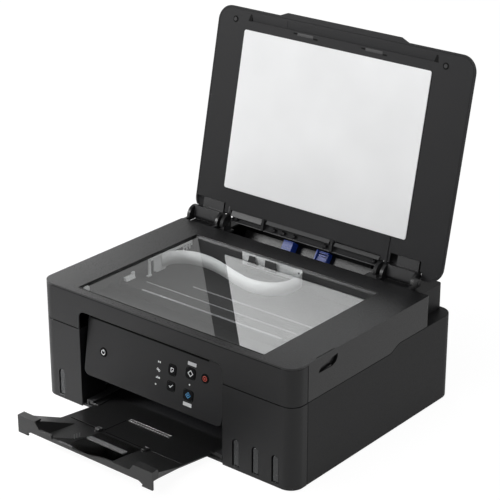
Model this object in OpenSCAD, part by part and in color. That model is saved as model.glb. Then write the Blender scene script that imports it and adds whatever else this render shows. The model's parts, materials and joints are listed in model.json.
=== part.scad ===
// Flatbed all-in-one inkjet printer with refillable ink tanks, document cover open and output
// tray pulled out. Millimetres, +Z up. The front faces -Y and +X is to the right of a user who
// stands before it. The origin lies on the floor, below the middle of the printer's outline.

/* [Case] */
// Width of the case
body_w = 416; // [408:1:440]
// Depth of the case, front face to rear wall
body_d = 337; // [335:1:345]
// Thickness of the moulded outer walls
wall = 2.4; // [2:0.2:3]
// Height of the case's lower edge above the floor
case_lift = 2; // [1.6:0.1:3]
// Height of the scanner unit's top face above the floor
top_z = 164; // [160:1:170]
// Height of the seam under the scanner unit at the front
front_seam_z = 113; // [110:1:116]
// Height of the same seam behind its ramp
rear_seam_z = 121; // [119:1:122]
// Distance from the front face at which the seam starts to rise
ramp_start = 190; // [160:1:200]
// Distance over which the seam rises
ramp_run = 25; // [15:1:40]
// Radius of the two front corners, seen from above
front_corner_r = 18; // [10:1:22]
// Radius of the two rear corners, seen from above
rear_corner_r = 20; // [10:1:24]
// Distance from the front face to the vertical seam on each side
front_wrap = 26.4; // [24:0.2:34]
// Gap at the seams between neighbouring covers
seam_gap = 0.6; // [0.5:0.1:1]

/* [Front opening] */
// Centre line of the paper path, to the right of the case's centre
paper_cx = -21.5; // [-24:0.5:-18]
// Width of the front opening
opening_w = 239; // [235:1:241]
// Height of the top edge of the front opening
opening_top = 138; // [136:1:142]
// Radius of the upper corners of the opening
opening_corner_r = 9; // [4:1:12]
// Depth of the cheeks beside the opening
cheek_depth = 44; // [32:1:60]

/* [Operation panel] */
// Width of the operation panel
panel_w = 231; // [224:1:231]
// Height of the operation panel along its face
panel_h = 85; // [82:1:86]
// Height of the panel's lower edge above the floor
panel_z = 52; // [50:1:53]
// Backward tilt of the panel
panel_tilt = 9; // [7:1:11]
// Thickness of the panel's face
panel_t = 2.5; // [2:0.1:3]
// Depth of the panel's box
panel_depth = 13; // [11:1:16]
// Travel of the push buttons
button_travel = 0.8; // [0.4:0.1:1]
// Gap round each button
button_gap = 0.35; // [0.25:0.05:0.5]
// Height of a button above the panel face
button_proud = 0.7; // [0.3:0.1:1]

/* [Ink tanks] */
// Width of each of the three colour tanks
tank_w = 29; // [26:1:29.5]
// Distance between the centres of neighbouring colour tanks
tank_pitch = 30.5; // [30:0.1:31]
// Width of the black tank
black_tank_w = 46; // [40:1:47]
// Distance of the black tank's centre line to the left of its bay's middle
black_tank_offset = 1.9; // [0:0.1:4]
// Depth of the tanks
tank_depth = 104; // [90:1:110]
// Height of the tanks' top above the floor
tank_top_z = 84; // [76:1:86]
// Thickness of the tanks' walls
tank_wall = 1.6; // [1.2:0.1:2]
// Radius of the filler bore
filler_r = 4.6; // [4.4:0.1:5.5]
// Width of the window slots in the front panels
window_w = 10.8; // [8:0.1:13]
// Height of the window slots
window_h = 37.5; // [30:0.5:40]

/* [Output tray] */
// Width of the tray's deck
deck_w = 198; // [186:1:200]
// Width of the lip across the front of the tray
lip_w = 226; // [222:1:230]
// Distance that the tray slides
tray_travel = 117; // [110:1:118]
// Rise of the deck per millimetre towards the front
deck_rise = 0.125; // [0.11:0.005:0.13]
// Height of the deck where it passes the front face
deck_z = 9.4; // [9.3:0.1:10]
// Thickness of the deck
deck_t = 2; // [1.8:0.1:2.2]
// Distance that the extension slides out of the tray
extension_travel = 30; // [20:1:30]
// Width of the window over the sliding extension
window_deck_w = 70; // [60:1:74]
// Length of the sliding extension
extension_l = 62; // [56:1:63]

/* [Rear feed] */
// Slope of the paper chute
chute_angle = 54; // [53:0.5:55]
// Length of the chute plate
chute_l = 110; // [102:1:110]
// Width of the chute plate
chute_w = 224; // [222:1:228]
// Half of the narrowest gap between the two paper guides
guide_half_gap = 20; // [18:1:24]
// Distance that each paper guide slides outwards
guide_travel = 85; // [78:1:85]
// Length of the folding paper support
support_l = 98; // [80:1:104]
// Width of the folding paper support
support_w = 150; // [120:1:170]

/* [Document cover] */
// Distance of the cover's hinge axis from the front face
hinge_y = 298; // [297:0.5:300]
// Angle at which the document cover stands open
cover_open = 102; // [90:1:105]
// Thickness of the document cover
cover_t = 12.4; // [11:0.2:14]
// Gap between the scanner unit's top and the closed cover
cover_gap = 1.6; // [1.6:0.1:2.4]
// Radius of the cover's corners
cover_corner_r = 22; // [18:1:26]
// Width of the white pad, across the printer
pad_w = 305; // [300:1:312]
// Length of the white pad, front to back
pad_l = 220; // [216:1:222]
// Thickness of the cover's upright rim, before its outer face slopes away
cover_rim = 2.4; // [2:0.2:4]
// Width of the slope round the cover's outer face
cover_slope = 14; // [8:1:16]
// How far the pad stands out of the cover
pad_proud = 1.4; // [1:0.1:1.4]
// Sideways offset of the pad from the cover's centre
pad_cx = -7; // [-9:0.5:-5]
// Radius of the ears that carry the cover's hinges
ear_r = 14; // [12:0.5:14]

/* [Scanner] */
// Width of the glass opening
glass_w = 305; // [300:1:308]
// Depth of the glass opening
glass_l = 228; // [224:1:229]
// Distance of the glass opening from the front face
glass_y = 13.3; // [12:0.1:14]
// Thickness of the top frame round the glass
frame_t = 2.4; // [2:0.2:3]
// Thickness of the glass
glass_t = 2.2; // [2:0.1:3]
// Depth of the scanner unit, from the front face to its rear wall
scanner_d = 275.5; // [275:0.5:276]
// Width of the scan bar
scan_bar_w = 22; // [18:1:24]

/* [Print engine] */
// Width of the print carriage
carriage_w = 84; // [80:1:86]
// Pitch radius of the carriage belt on its pulleys
belt_r = 6; // [5:0.5:7]
// Radius of the line feed roller
feed_r = 6.4; // [6:0.1:6.6]
// Module of the feed gears
gear_m = 1; // [0.8:0.1:1]
// Teeth of the two roller gears
roller_teeth = 28;
// Teeth of the idler gear between them
idler_teeth = 43;
// Teeth of the motor pinion
pinion_teeth = 12;
// Radial clearance of shafts and pins in their bores
shaft_gap = 0.08; // [0.05:0.01:0.1]

/* [Hidden] */

half_w = body_w / 2;
opening_x0 = paper_cx - opening_w / 2;
opening_x1 = paper_cx + opening_w / 2;
inner_x = half_w - wall;
pan_t = 3;
pan_top = case_lift + pan_t;
frame_under = top_z - frame_t;

// document cover, closed, before it is swung open about the hinge axis
hinge_z = top_z;
knuckle_r = 5.6;
pin_r = 2.5;
cover_z = top_z + cover_gap;
cover_rear_y = hinge_y - pin_r - 2.1;
cover_front_y = 0;
grip_proud = 5;
hinge_left = [6 - half_w, 51 - half_w];
hinge_right = [half_w - 79, half_w - 37];

// outline of the whole printer, front to back, with the cover open
lip_front_y = -tray_travel - 2;
lip_t = 2.5;
cover_top_y = hinge_y - (hinge_y - cover_front_y) * cos(cover_open)
    + (cover_gap + cover_t) * sin(cover_open);
y_mid = (lip_front_y + cover_top_y) / 2;

// output tray
lip_z0 = 17;
lip_z1 = 41;
deck_rear_y = 7;
deck_front_y = -48;
runner_z0 = pan_top + 1;
runner_z1 = runner_z0 + 3.2;
runner_rear_y = 38;
ext_front_y = lip_front_y + 6;
ext_gap = 0.25;
ext_t = 1.6;
ext_slope = atan(deck_rise);

// rear feed
chute_y = hinge_y - 36;
chute_z = 60;
chute_t = 2.4;
rack_v = 77;
rack_module = 1;
rack_teeth = 16;
rack_pitch_r = rack_module * rack_teeth / 2;
housing_top = 155.5;
housing_half_w = half_w - 20;
housing_y0 = scanner_d + 3.5;
housing_y1 = body_d - 1;

// print engine
line_y = 205;
line_z = 39;
eject_y = line_y - gear_m * (roller_teeth + idler_teeth);
eject_z = line_z;
eject_r = 4;
eject_tyre_r = eject_r + 2;
engine_x0 = opening_x0 - 6;
engine_x1 = opening_x1 + 1;
gear_x1 = engine_x0 - 3;
gear_face = 5;
platen_z = line_z + feed_r + 0.2;
rail_y = 238;
carriage_home_x = half_w - 59;
belt_y = 208;
belt_z = 98.5;
drive_x = -half_w + 22;
idler_x = half_w - 12;

function lerp(a, b, t) = a + (b - a) * t;
function ease(t) = (1 - cos(180 * t)) / 2;
function seam_point(t) = [ramp_start + ramp_run * t, lerp(front_seam_z, rear_seam_z, ease(t))];
function deck_top(y) = deck_z - deck_rise * y;

// Everything is drawn with y = 0 on the front face and is then moved onto the origin.
module from_front() {
    translate([0, -y_mid, 0]) children();
}

// A box between two corners
module block(x0, x1, y0, y1, z0, z1) {
    translate([x0, y0, z0]) cube([x1 - x0, y1 - y0, z1 - z0]);
}

// A cylinder along X
module x_rod(x0, x1, y, z, r) {
    translate([x0, y, z]) rotate([0, 90, 0]) cylinder(r = r, h = x1 - x0, $fn = 48);
}

// A rectangle with its own radius on the front pair and on the rear pair of corners
module rounded_plan(x0, x1, y0, y1, rf, rr) {
    translate([x0 + rf, y0]) square([x1 - x0 - 2 * rf, rf]);
    translate([x0, y0 + rf]) square([x1 - x0, y1 - y0 - rf - rr]);
    translate([x0 + rr, y1 - rr]) square([x1 - x0 - 2 * rr, rr]);
    for (x = [x0 + rf, x1 - rf]) translate([x, y0 + rf]) circle(r = rf, $fn = 64);
    for (x = [x0 + rr, x1 - rr]) translate([x, y1 - rr]) circle(r = rr, $fn = 64);
}

// A rounded plate between two heights
module plate(x0, x1, y0, y1, z0, z1, r) {
    translate([0, 0, z0]) linear_extrude(z1 - z0) rounded_plan(x0, x1, y0, y1, r, r);
}

// The case's outline seen from above, drawn in by inset
module case_plan(inset) {
    rounded_plan(-half_w + inset, half_w - inset, inset, body_d - inset,
                 front_corner_r - inset, rear_corner_r - inset);
}

// Profile in Y and Z, pushed along X from x0 to x1
module along_x(x0, x1, points) {
    translate([x0, 0, 0]) rotate([90, 0, 90]) linear_extrude(x1 - x0) polygon(points);
}

// The room above the seam (above = true), or below it, raised by a shift
module seam_side(above, shift) {
    far = above ? top_z + 60 : -10;
    line = [for (i = [0 : 8]) seam_point(i / 8) + [0, shift]];
    along_x(-half_w - 5, half_w + 5, concat([[-20, far], [-20, front_seam_z + shift]], line,
        [[body_d + 20, rear_seam_z + shift], [body_d + 20, far]]));
}

// Spur gear or pinion: straight-flanked teeth, thinned for backlash
module gear_plan(teeth, m) {
    pitch_r = m * teeth / 2;
    root_r = pitch_r - 1.15 * m;
    tip_r = pitch_r + 0.8 * m;
    half_root = 0.95 * m;
    half_tip = 0.3 * m;
    circle(r = root_r, $fn = 96);
    for (i = [0 : teeth - 1]) rotate([0, 0, 360 * i / teeth])
        polygon([[root_r - 0.4 * m, -half_root], [root_r, -half_root], [tip_r, -half_tip],
                 [tip_r, half_tip], [root_r, half_root], [root_r - 0.4 * m, half_root]]);
}

// ---- base: pan, feet and outer case ----

module base_pan() {
    inset = wall + 0.5;
    color("#26272a") from_front() difference() {
        translate([0, 0, case_lift]) linear_extrude(pan_t) case_plan(inset);
        for (p = foot_places()) translate([p[0], p[1], case_lift - 1])
            cylinder(r = foot_stem_r + shaft_gap, h = pan_t + 2, $fn = 32);
    }
    color("#26272a") from_front() for (side = [-1, 1]) tray_rail(side);
}

foot_r = 9;
foot_stem_r = 2.4;
foot_inset = 34;
function foot_places() = [for (x = [-half_w + foot_inset, half_w - foot_inset])
    for (y = [foot_inset, body_d - foot_inset]) [x, y]];

// Channel that a runner of the output tray slides in
module tray_rail(side) {
    x_in = paper_cx + side * (deck_w / 2 + 5);
    x_out = paper_cx + side * (deck_w / 2 + 16);
    web = paper_cx + side * (deck_w / 2 + 13.4);
    y0 = wall + 2;
    y1 = tray_travel + runner_rear_y + 3;
    block(min(web, x_out), max(web, x_out), y0, y1, pan_top, runner_z1 + 2.4);
    block(min(x_in, web), max(x_in, web), y0, y1, runner_z1 + 0.6, runner_z1 + 2.4);
}

module rubber_feet() {
    color("#17181a") from_front() for (p = foot_places()) translate([p[0], p[1], 0]) {
        cylinder(r = foot_r, h = case_lift, $fn = 48);
        cylinder(r = foot_stem_r, h = case_lift + pan_t - 0.4, $fn = 32);
    }
}

module main_case() {
    y0 = front_wrap + seam_gap / 2;
    deck_z0 = rear_seam_z - wall;
    color("#333437") from_front() difference() {
        union() {
            difference() {
                translate([0, 0, case_lift]) linear_extrude(rear_seam_z - case_lift) case_plan(0);
                translate([0, 0, case_lift - 1]) linear_extrude(rear_seam_z) case_plan(wall);
                seam_side(true, 0);
            }
            intersection() {
                translate([0, 0, deck_z0]) linear_extrude(wall) case_plan(wall / 2);
                block(-half_w, half_w, scanner_d + 1.5, body_d, deck_z0, rear_seam_z);
            }
            intersection() {
                support_recess(wall, recess_z - wall);
                block(-half_w, half_w, 0, body_d - wall / 2, 0, rear_seam_z - wall - 2.6);
            }
        }
        support_recess(0, recess_z);
        block(-half_w - 1, half_w + 1, -1, y0, 0, top_z);
        block(-housing_half_w + wall + 1, housing_half_w - wall - 1, housing_y0 + wall + 1,
              recess_y - wall, deck_z0 - 1, rear_seam_z + 1);
        block(inlet_x - inlet_w / 2 - 0.3, inlet_x + inlet_w / 2 + 0.3, body_d - wall - 1, body_d + 1,
              inlet_z - 0.3, inlet_z + inlet_h + 0.3);
        block(usb_x - 8, usb_x + 8, body_d - wall - 1, body_d + 1, board_z + 1, board_z + 16);
    }
}

// One of the two lower front panels: face, rounded corner and the cheek beside the opening
module front_panel(x_in, x_out, windows) {
    left = min(x_in, x_out);
    right = max(x_in, x_out);
    side = x_out < 0 ? -1 : 1;
    difference() {
        union() {
            difference() {
                translate([0, 0, case_lift]) linear_extrude(front_seam_z - case_lift - seam_gap)
                    case_plan(0);
                translate([0, 0, case_lift - 1]) linear_extrude(front_seam_z) case_plan(wall);
                block(-half_w - 1, half_w + 1, front_wrap - seam_gap / 2, body_d + 1, 0, top_z);
            }
            translate([x_in + (side < 0 ? -wall : 0), wall / 2, pan_top + 0.2])
                cube([wall, cheek_depth - wall / 2, front_seam_z - seam_gap - pan_top - 0.2]);
        }
        block(side < 0 ? x_in : -half_w - 1, side < 0 ? half_w + 1 : x_in, -1, wall + 30, 0, top_z);
        for (x = windows) window_slot(x);
    }
}

window_z = 6.8;
module window_slot(x) {
    r = window_w / 2;
    translate([x, wall + 1, window_z]) rotate([90, 0, 0]) linear_extrude(wall + 2) union() {
        translate([-r, 0]) square([window_w, window_h - r]);
        translate([0, window_h - r]) circle(r = r, $fn = 48);
    }
}

// The bays reach from the case's side walls to the cheeks. The colour tanks stand nearer their cheek.
bank_share = 0.27;
bank_w = 2 * tank_pitch + tank_w;
bank_x0 = opening_x1 + wall + bank_share * (inner_x - opening_x1 - wall - bank_w);
black_x = (opening_x0 - wall - inner_x) / 2 - black_tank_offset;
function colour_x(i) = bank_x0 + tank_w / 2 + tank_pitch * i;

module front_panel_left() {
    color("#3c3d40") from_front() front_panel(opening_x0, -half_w, [black_x]);
}

module front_panel_right() {
    color("#303134") from_front() front_panel(opening_x1, half_w, [for (i = [0 : 2]) colour_x(i)]);
}

// ---- operation panel and its buttons ----

panel_cx = paper_cx + 2;
panel_r = 8;

// Local frame of the panel: x across, z up along its face, y into the printer
module panel_pose() {
    from_front() translate([panel_cx, 0, panel_z]) rotate([-panel_tilt, 0, 0]) children();
}

// Rectangle with round corners, centred, standing in the panel's face, d deep from y
module face_shape(x, z, w, h, r, y, d) {
    translate([x, y + d, z]) rotate([90, 0, 0]) linear_extrude(d) union() {
        translate([-w / 2 + r, -h / 2]) square([w - 2 * r, h]);
        translate([-w / 2, -h / 2 + r]) square([w, h - 2 * r]);
        for (i = [-1, 1]) for (j = [-1, 1])
            translate([i * (w / 2 - r), j * (h / 2 - r)]) circle(r = r, $fn = 32);
    }
}

// Buttons: x, z, width, height, corner radius, in the panel's frame
power_key = [-85, 37.5, 9.6, 9.6, 4.7];
copies_key = [31.2, 49, 11.6, 12.6, 3];
ok_key = [31.2, 27.6, 11.6, 11, 2.4];
black_key = [60.6, 53.5, 14.6, 13.2, 4];
stop_key = [83.8, 53.8, 9.4, 9.4, 4.6];
colour_key = [60, 24.8, 15, 12.6, 3.4];
keys = [power_key, copies_key, ok_key, black_key, stop_key, colour_key];
// Lights: x, z, width, height
lights = [[8.3, 52.8, 4.6, 3], [8.3, 42.6, 4.6, 3], [8.3, 33, 4.6, 3], [6, 22.9, 2.2, 2.2],
          [60.3, 38.6, 2.2, 2.2]];

module operation_panel() {
    mid_z = panel_h / 2;
    color("#37383b") panel_pose() difference() {
        face_shape(0, mid_z, panel_w, panel_h, panel_r, 0, panel_depth);
        face_shape(0, mid_z, panel_w - 2 * panel_t, panel_h - 2 * panel_t, panel_r - panel_t, panel_t,
                   panel_depth);
        for (k = keys) face_shape(k[0], k[1], k[2] + 2 * button_gap, k[3] + 2 * button_gap,
                                  k[4] + button_gap, -1, panel_t + 2);
        for (k = lights) face_shape(k[0], k[1], k[2], k[3], 1, -1, panel_t + 2);
    }
    color("#37383b") panel_pose() control_board();
    // bar across the panel's back, which holds it between the two cheeks
    color("#2a2b2e") panel_pose() block(opening_x0 - panel_cx, opening_x1 - panel_cx,
        panel_depth - 2.4, panel_depth, 1, 9);
}

// Height of a key's stem behind the panel, and the board that it presses on
stem_y = panel_t + 5;

module control_board() {
    y = stem_y + button_travel + 0.4;
    face_shape(50, 42, 110, 66, 2, y, 1.6);
    face_shape(power_key[0], 38, 24, 30, 2, y, 1.6);
    for (x = [-1, 101]) for (z = [16, 68]) face_shape(x, z, 5, 5, 1, panel_t - 0.5, y - panel_t + 1);
    for (z = [26, 50]) face_shape(power_key[0], z, 5, 4, 1, panel_t - 0.5, y - panel_t + 1);
}

module indicator_lights() {
    color("#d8dadc") panel_pose() for (k = lights) {
        face_shape(k[0], k[1], k[2] - 0.2, k[3] - 0.2, 0.9, 0.1, panel_t + 1);
        face_shape(k[0], k[1], k[2] + 2, k[3] + 2, 1, panel_t + 0.2, 1);
    }
}

// A button: its cap through the panel, and a flange behind that keeps it in
module key_cap(k, tint) {
    color(tint) panel_pose() {
        face_shape(k[0], k[1], k[2], k[3], k[4], -button_proud, panel_t + button_proud + 1);
        face_shape(k[0], k[1], k[2] + 3, k[3] + 3, k[4] + 1, panel_t + 0.2, 1.4);
        face_shape(k[0], k[1], 4, 4, 1, panel_t + 1, stem_y - panel_t - 1);
    }
}

module power_button() { key_cap(power_key, "#2c2d30"); }
module copies_button() { key_cap(copies_key, "#232427"); }
module ok_button() { key_cap(ok_key, "#232427"); }
module black_start_button() { key_cap(black_key, "#1f2023"); }
module stop_button() { key_cap(stop_key, "#232427"); }
module colour_start_button() { key_cap(colour_key, "#1f2023"); }

// ---- ink tanks ----

tank_y0 = wall + 3.6;
tank_z0 = pan_top + 0.8;
neck_y = tank_y0 + 34;
neck_h = 6;
cap_axis_back = 20;

// A tank with its filler neck, and the two ears that carry the cap's pivot
module ink_tank(x, w) {
    top = tank_top_z;
    axis_y = neck_y + cap_axis_back;
    axis_z = top + neck_h + 1.6;
    from_front() {
        difference() {
            union() {
                plate(x - w / 2, x + w / 2, tank_y0, tank_y0 + tank_depth, tank_z0, top, 3);
                translate([x, neck_y, top - 1]) cylinder(r = filler_r + 2, h = neck_h + 1, $fn = 48);
                for (s = [-1, 1]) translate([x + s * 6, 0, 0]) difference() {
                    block(-1.5, 1.5, axis_y - 3.5, axis_y + 3.5, top - 1, axis_z + 3.2);
                    x_rod(-2, 2, axis_y, axis_z, 1.5 + shaft_gap);
                }
            }
            plate(x - w / 2 + tank_wall, x + w / 2 - tank_wall, tank_y0 + tank_wall,
                  tank_y0 + tank_depth - tank_wall, tank_z0 + tank_wall, top - tank_wall, 2);
            translate([x, neck_y, top - tank_wall - 1]) cylinder(r = filler_r, h = neck_h + 6, $fn = 48);
        }
    }
}

module ink_tank_black() { color("#7b7f84") ink_tank(black_x, black_tank_w); }
module ink_tank_cyan() { color("#6f8f9c") ink_tank(colour_x(0), tank_w); }
module ink_tank_magenta() { color("#94707f") ink_tank(colour_x(1), tank_w); }
module ink_tank_yellow() { color("#98936a") ink_tank(colour_x(2), tank_w); }

// The hinged cap: lever, plug in the filler bore, thumb tab and pivot pins
module tank_cap(x) {
    axis_y = neck_y + cap_axis_back;
    axis_z = tank_top_z + neck_h + 1.6;
    lid_z = tank_top_z + neck_h + 0.3;
    from_front() {
        plate(x - 3.8, x + 3.8, neck_y - 12, axis_y + 1, lid_z, lid_z + 2.6, 3);
        translate([x, neck_y, lid_z]) cylinder(r = filler_r + 2.2, h = 2.6, $fn = 48);
        translate([x, neck_y, lid_z - 3]) cylinder(r = filler_r - 1.1, h = 3.2, $fn = 48);
        x_rod(x - 7.2, x + 7.2, axis_y, axis_z, 1.5);
    }
}

module tank_cap_black() { color("#1c1d1f") tank_cap(black_x); }
module tank_cap_cyan() { color("#2a6f9a") tank_cap(colour_x(0)); }
module tank_cap_magenta() { color("#8e2f56") tank_cap(colour_x(1)); }
module tank_cap_yellow() { color("#b39a2c") tank_cap(colour_x(2)); }

// ---- output tray ----

module output_tray() {
    cx = paper_cx;
    hd = deck_w / 2;
    hl = lip_w / 2;
    hw = window_deck_w / 2;
    apron = lip_front_y + lip_t;
    window_y = ext_front_y + extension_l - 3;
    rear_z = deck_top(deck_rear_y);
    color("#313235") from_front() {
        difference() {
            union() {
                deck_slab(cx - hd, cx + hd, apron - 0.5, deck_rear_y, 0, deck_t);
                block(cx - hd, cx + hd, deck_rear_y - 0.5, runner_rear_y, rear_z - deck_t, rear_z);
                for (s = [-1, 1]) wing(s);
            }
            deck_slab(cx - hw, cx + hw, ext_front_y - 1, window_y, -3, deck_t + 3);
        }
        // channel under the deck that holds the extension
        for (s = [-1, 1]) {
            deck_bar(s, hw + 4 + ext_gap, hw + 6.4, deck_t - 0.5, deck_t + ext_t + 2 * ext_gap + 1.2);
            deck_bar(s, hw, hw + 6.4, deck_t + ext_t + 2 * ext_gap, deck_t + ext_t + 2 * ext_gap + 1.2);
        }
        // raised joints at the rear corners of the window
        for (s = [-1, 1]) knuckle(cx + s * (hw + 4.5), deck_front_y);
        // pair of low ridges across the deck
        for (y = [-2.6, 2.6]) deck_rib(cx - 35, cx + 34, y, 1.6, 1);
        // shallow step across the deck, and the fold line towards the ridges
        deck_rib(cx - hd + 2, cx - hw - 9, deck_front_y, 1.2, 0.5);
        deck_rib(cx + hw + 9, cx + hd - 2, deck_front_y, 1.2, 0.5);
        for (s = [-1, 1]) runner(s);
        tray_lip(cx, hl);
    }
}

// Bar along both sides of the extension, between two depths below the deck's top
module deck_bar(side, in, out, top, bottom) {
    x0 = paper_cx + side * in;
    x1 = paper_cx + side * out;
    deck_slab(min(x0, x1), max(x0, x1), ext_front_y + 7, ext_front_y + extension_l + 4, top, bottom);
}

// Raised hinge-like knuckle beside the window
module knuckle(x, y) {
    deck_slab(x - 3.4, x + 3.4, y - 7, y + 1, -2.6, 1);
    deck_slab(x - 1.6, x + 1.6, y - 10, y - 6, -1.4, 1);
}

// Slab that follows the deck's slope, between two depths below its top
module deck_slab(x0, x1, y0, y1, top, bottom) {
    along_x(x0, x1, [[y0, deck_top(y0) - bottom], [y1, deck_top(y1) - bottom],
                     [y1, deck_top(y1) - top], [y0, deck_top(y0) - top]]);
}

module deck_rib(x0, x1, y, w, h) {
    along_x(x0, x1, [[y, deck_top(y) - 0.5], [y + w, deck_top(y + w) - 0.5],
                     [y + w, deck_top(y + w) + h], [y, deck_top(y) + h]]);
}

// Wing that falls from the block at the end of the lip back to the deck
module wing(side) {
    hd = deck_w / 2;
    hl = lip_w / 2;
    y0 = lip_front_y + 0.5;
    hull() {
        mirrored_block(side, hl - 26, hl - 0.8, y0, y0 + 9, lip_z1 - 12, lip_z1 - 4);
        translate([paper_cx, 0, 0]) mirror([side < 0 ? 1 : 0, 0, 0])
            deck_slab(hd - 26, hd, y0 + 3, deck_front_y - 11, 0, deck_t);
    }
}

// Block on one side of the paper path's centre line, given by its distances from it
module mirrored_block(side, in, out, y0, y1, z0, z1) {
    x0 = paper_cx + side * in;
    x1 = paper_cx + side * out;
    block(min(x0, x1), max(x0, x1), y0, y1, z0, z1);
}

// Runner along the side of the tray, held in the channel on the pan
module runner(side) {
    x0 = paper_cx + side * (deck_w / 2 - 4);
    x1 = paper_cx + side * (deck_w / 2 + 12.6);
    block(min(x0, x1), max(x0, x1), 5.5, runner_rear_y, runner_z0, runner_z1);
}

// Lip across the front: blocks with a foot at both ends, a lowered scoop between them
module tray_lip(cx, hl) {
    foot = hl - 17;
    shoulder = hl - 37;
    mid = lip_z0 + 6;
    low = lip_z1 - 15;
    high = lip_z1 - 9;
    translate([cx, lip_front_y + lip_t, 0]) rotate([90, 0, 0]) linear_extrude(lip_t) polygon([
        [-hl, lip_z0], [-foot, lip_z0], [-foot - 1, lip_z0 + 3], [-foot + 5, mid],
        [foot - 5, mid], [foot + 1, lip_z0 + 3], [foot, lip_z0], [hl, lip_z0],
        [hl, lip_z1], [hl - 30, lip_z1], [shoulder, high], [39, high], [24, low + 4], [8, low],
        [-14, low], [-24, low + 2], [-54, low + 1.5], [-55, high], [-shoulder, high],
        [30 - hl, lip_z1], [-hl, lip_z1]]);
    for (s = [-1, 1]) {
        block(cx + s * (hl - 15) - 15, cx + s * (hl - 15) + 15, lip_front_y + 0.5, lip_front_y + 11,
              lip_z1 - 2.4, lip_z1);
        block(cx + s * (hl - 1.2) - 1.2, cx + s * (hl - 1.2) + 1.2, lip_front_y + 0.5,
              lip_front_y + 11, lip_z1 - 12, lip_z1);
    }
}

module tray_extension() {
    cx = paper_cx;
    hw = window_deck_w / 2;
    y1 = ext_front_y + extension_l;
    bar_y = ext_front_y + extension_travel + 1;
    top = deck_t + ext_gap;
    color("#2c2d30") from_front() {
        deck_slab(cx - hw - 4, cx + hw + 4, ext_front_y, y1, top, top + ext_t);
        // ribbed finger bar
        deck_slab(cx - 31, cx + 31, bar_y, bar_y + 8, -0.4, top + 0.5);
        for (i = [0 : 3]) deck_rib(cx - 30.5, cx + 30.5, bar_y + 0.6 + 1.9 * i, 1.1, 1.2);
    }
}

// ---- rear feed: housing, chute, guides and paper support ----

module rear_tray_housing() {
    slot = [paper_cx - 116, paper_cx + 116];
    y0 = housing_y0;
    y1 = housing_y1;
    z0 = rear_seam_z;
    color("#303134") from_front() difference() {
        union() {
            plate(-housing_half_w, housing_half_w, y0, y1, z0, housing_top, 6);
            for (x = root_ears()) hinge_ear(x, x + root_ear_w);
        }
        difference() {
            plate(-housing_half_w + wall, housing_half_w - wall, y0 + wall, y1 - wall, z0 - 1,
                  housing_top - wall, 4);
            block(-recess_w / 2 - 4, recess_w / 2 + 4, recess_y - wall, y1, z0 - 2, housing_top);
        }
        block(slot[0], slot[1], y0 + 4, recess_y - wall, housing_top - wall - 1, housing_top + 1);
        // wider at the back, where the guides' grips pass when they are set to the widest paper
        block(paper_cx - guide_reach, paper_cx + guide_reach, hinge_y + knuckle_r + 0.4,
              recess_y - wall, housing_top - wall - 1, housing_top + 1);
        x_rod(-recess_w / 2 - 4.5, recess_w / 2 + 4.5, support_axis_y, support_axis_z,
              1.5 + shaft_gap);
        for (x = root_ears()) x_rod(x - 1, x + root_ear_w + 1, hinge_y, hinge_z, pin_r + shaft_gap);
        support_recess(0, z0 - 1);
    }
}

// Upright ear round the hinge axis, a quarter of a disc above a round knuckle
module ear(x0, x1) {
    x_rod(x0, x1, hinge_y, hinge_z, knuckle_r);
    intersection() {
        x_rod(x0, x1, hinge_y, hinge_z, ear_r);
        block(x0, x1, hinge_y - ear_r, hinge_y + knuckle_r - 0.4, hinge_z - 0.5, hinge_z + ear_r);
    }
}

root_ear_w = 5;
function root_ears() = [hinge_left[1] + 10, hinge_right[0] - 16];

// Ear on the housing that carries the hinge pin
module hinge_ear(x0, x1) {
    ear(x0, x1);
    block(x0, x1, hinge_y - knuckle_r + 0.4, hinge_y + knuckle_r - 0.4, housing_top - 1, hinge_z);
}

module chute_pose() {
    from_front() translate([paper_cx, chute_y, chute_z]) rotate([chute_angle, 0, 0]) children();
}

guide_top_v = 111;
guide_grip_w = 18.5;
guide_tab_w = 4;
guide_reach = guide_half_gap + guide_grip_w + guide_travel + 1;
tab_v = [rack_v + rack_pitch_r + 1.6, rack_v - rack_pitch_r - 1.6];
feed_roller_r = 13;
feed_roller_v = 12;
cheek_t = 3;

module paper_chute() {
    hw = chute_w / 2;
    n = feed_roller_r + 0.8;
    tab_reach = guide_half_gap + guide_travel + guide_tab_w + 0.6;
    color("#2a2b2e") chute_pose() difference() {
        union() {
            block(-hw, hw, 0, chute_l, -chute_t, 0);
            for (x = [-hw - cheek_t, hw]) block(x, x + cheek_t, 0, 34, -chute_t, n + 9);
        }
        block(-tab_reach, 0.4 - guide_half_gap, tab_v[0] - 0.4, tab_v[0] + 3.6, -chute_t - 1, 1);
        block(guide_half_gap - 0.4, tab_reach, tab_v[1] - 3.6, tab_v[1] + 0.4, -chute_t - 1, 1);
        translate([0, rack_v, -chute_t - 1]) cylinder(r = 3 + shaft_gap, h = chute_t + 2, $fn = 48);
        x_rod(-hw - cheek_t - 1, hw + cheek_t + 1, feed_roller_v, n, 4 + shaft_gap);
    }
}

// Rack behind the chute: teeth face the pinion, offset so that they mesh with it at rest
module rack(x0, x1, side) {
    p = PI * rack_module;
    pitch_v = rack_pitch_r;
    first = ceil((x0 + 1) / p - 0.5);
    last = floor((x1 - 1) / p - 0.5);
    translate([0, rack_v, -6.2]) linear_extrude(3) union() {
        translate([x0, side > 0 ? pitch_v + 1.15 : -pitch_v - 5]) square([x1 - x0, 3.85]);
        for (i = [first : last]) translate([(i + 0.5) * p, 0]) polygon([
            [-0.95, side * (pitch_v + 1.6)], [-0.95, side * (pitch_v + 1.15)],
            [-0.3, side * (pitch_v - 0.8)], [0.3, side * (pitch_v - 0.8)],
            [0.95, side * (pitch_v + 1.15)], [0.95, side * (pitch_v + 1.6)]]);
    }
}

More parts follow.
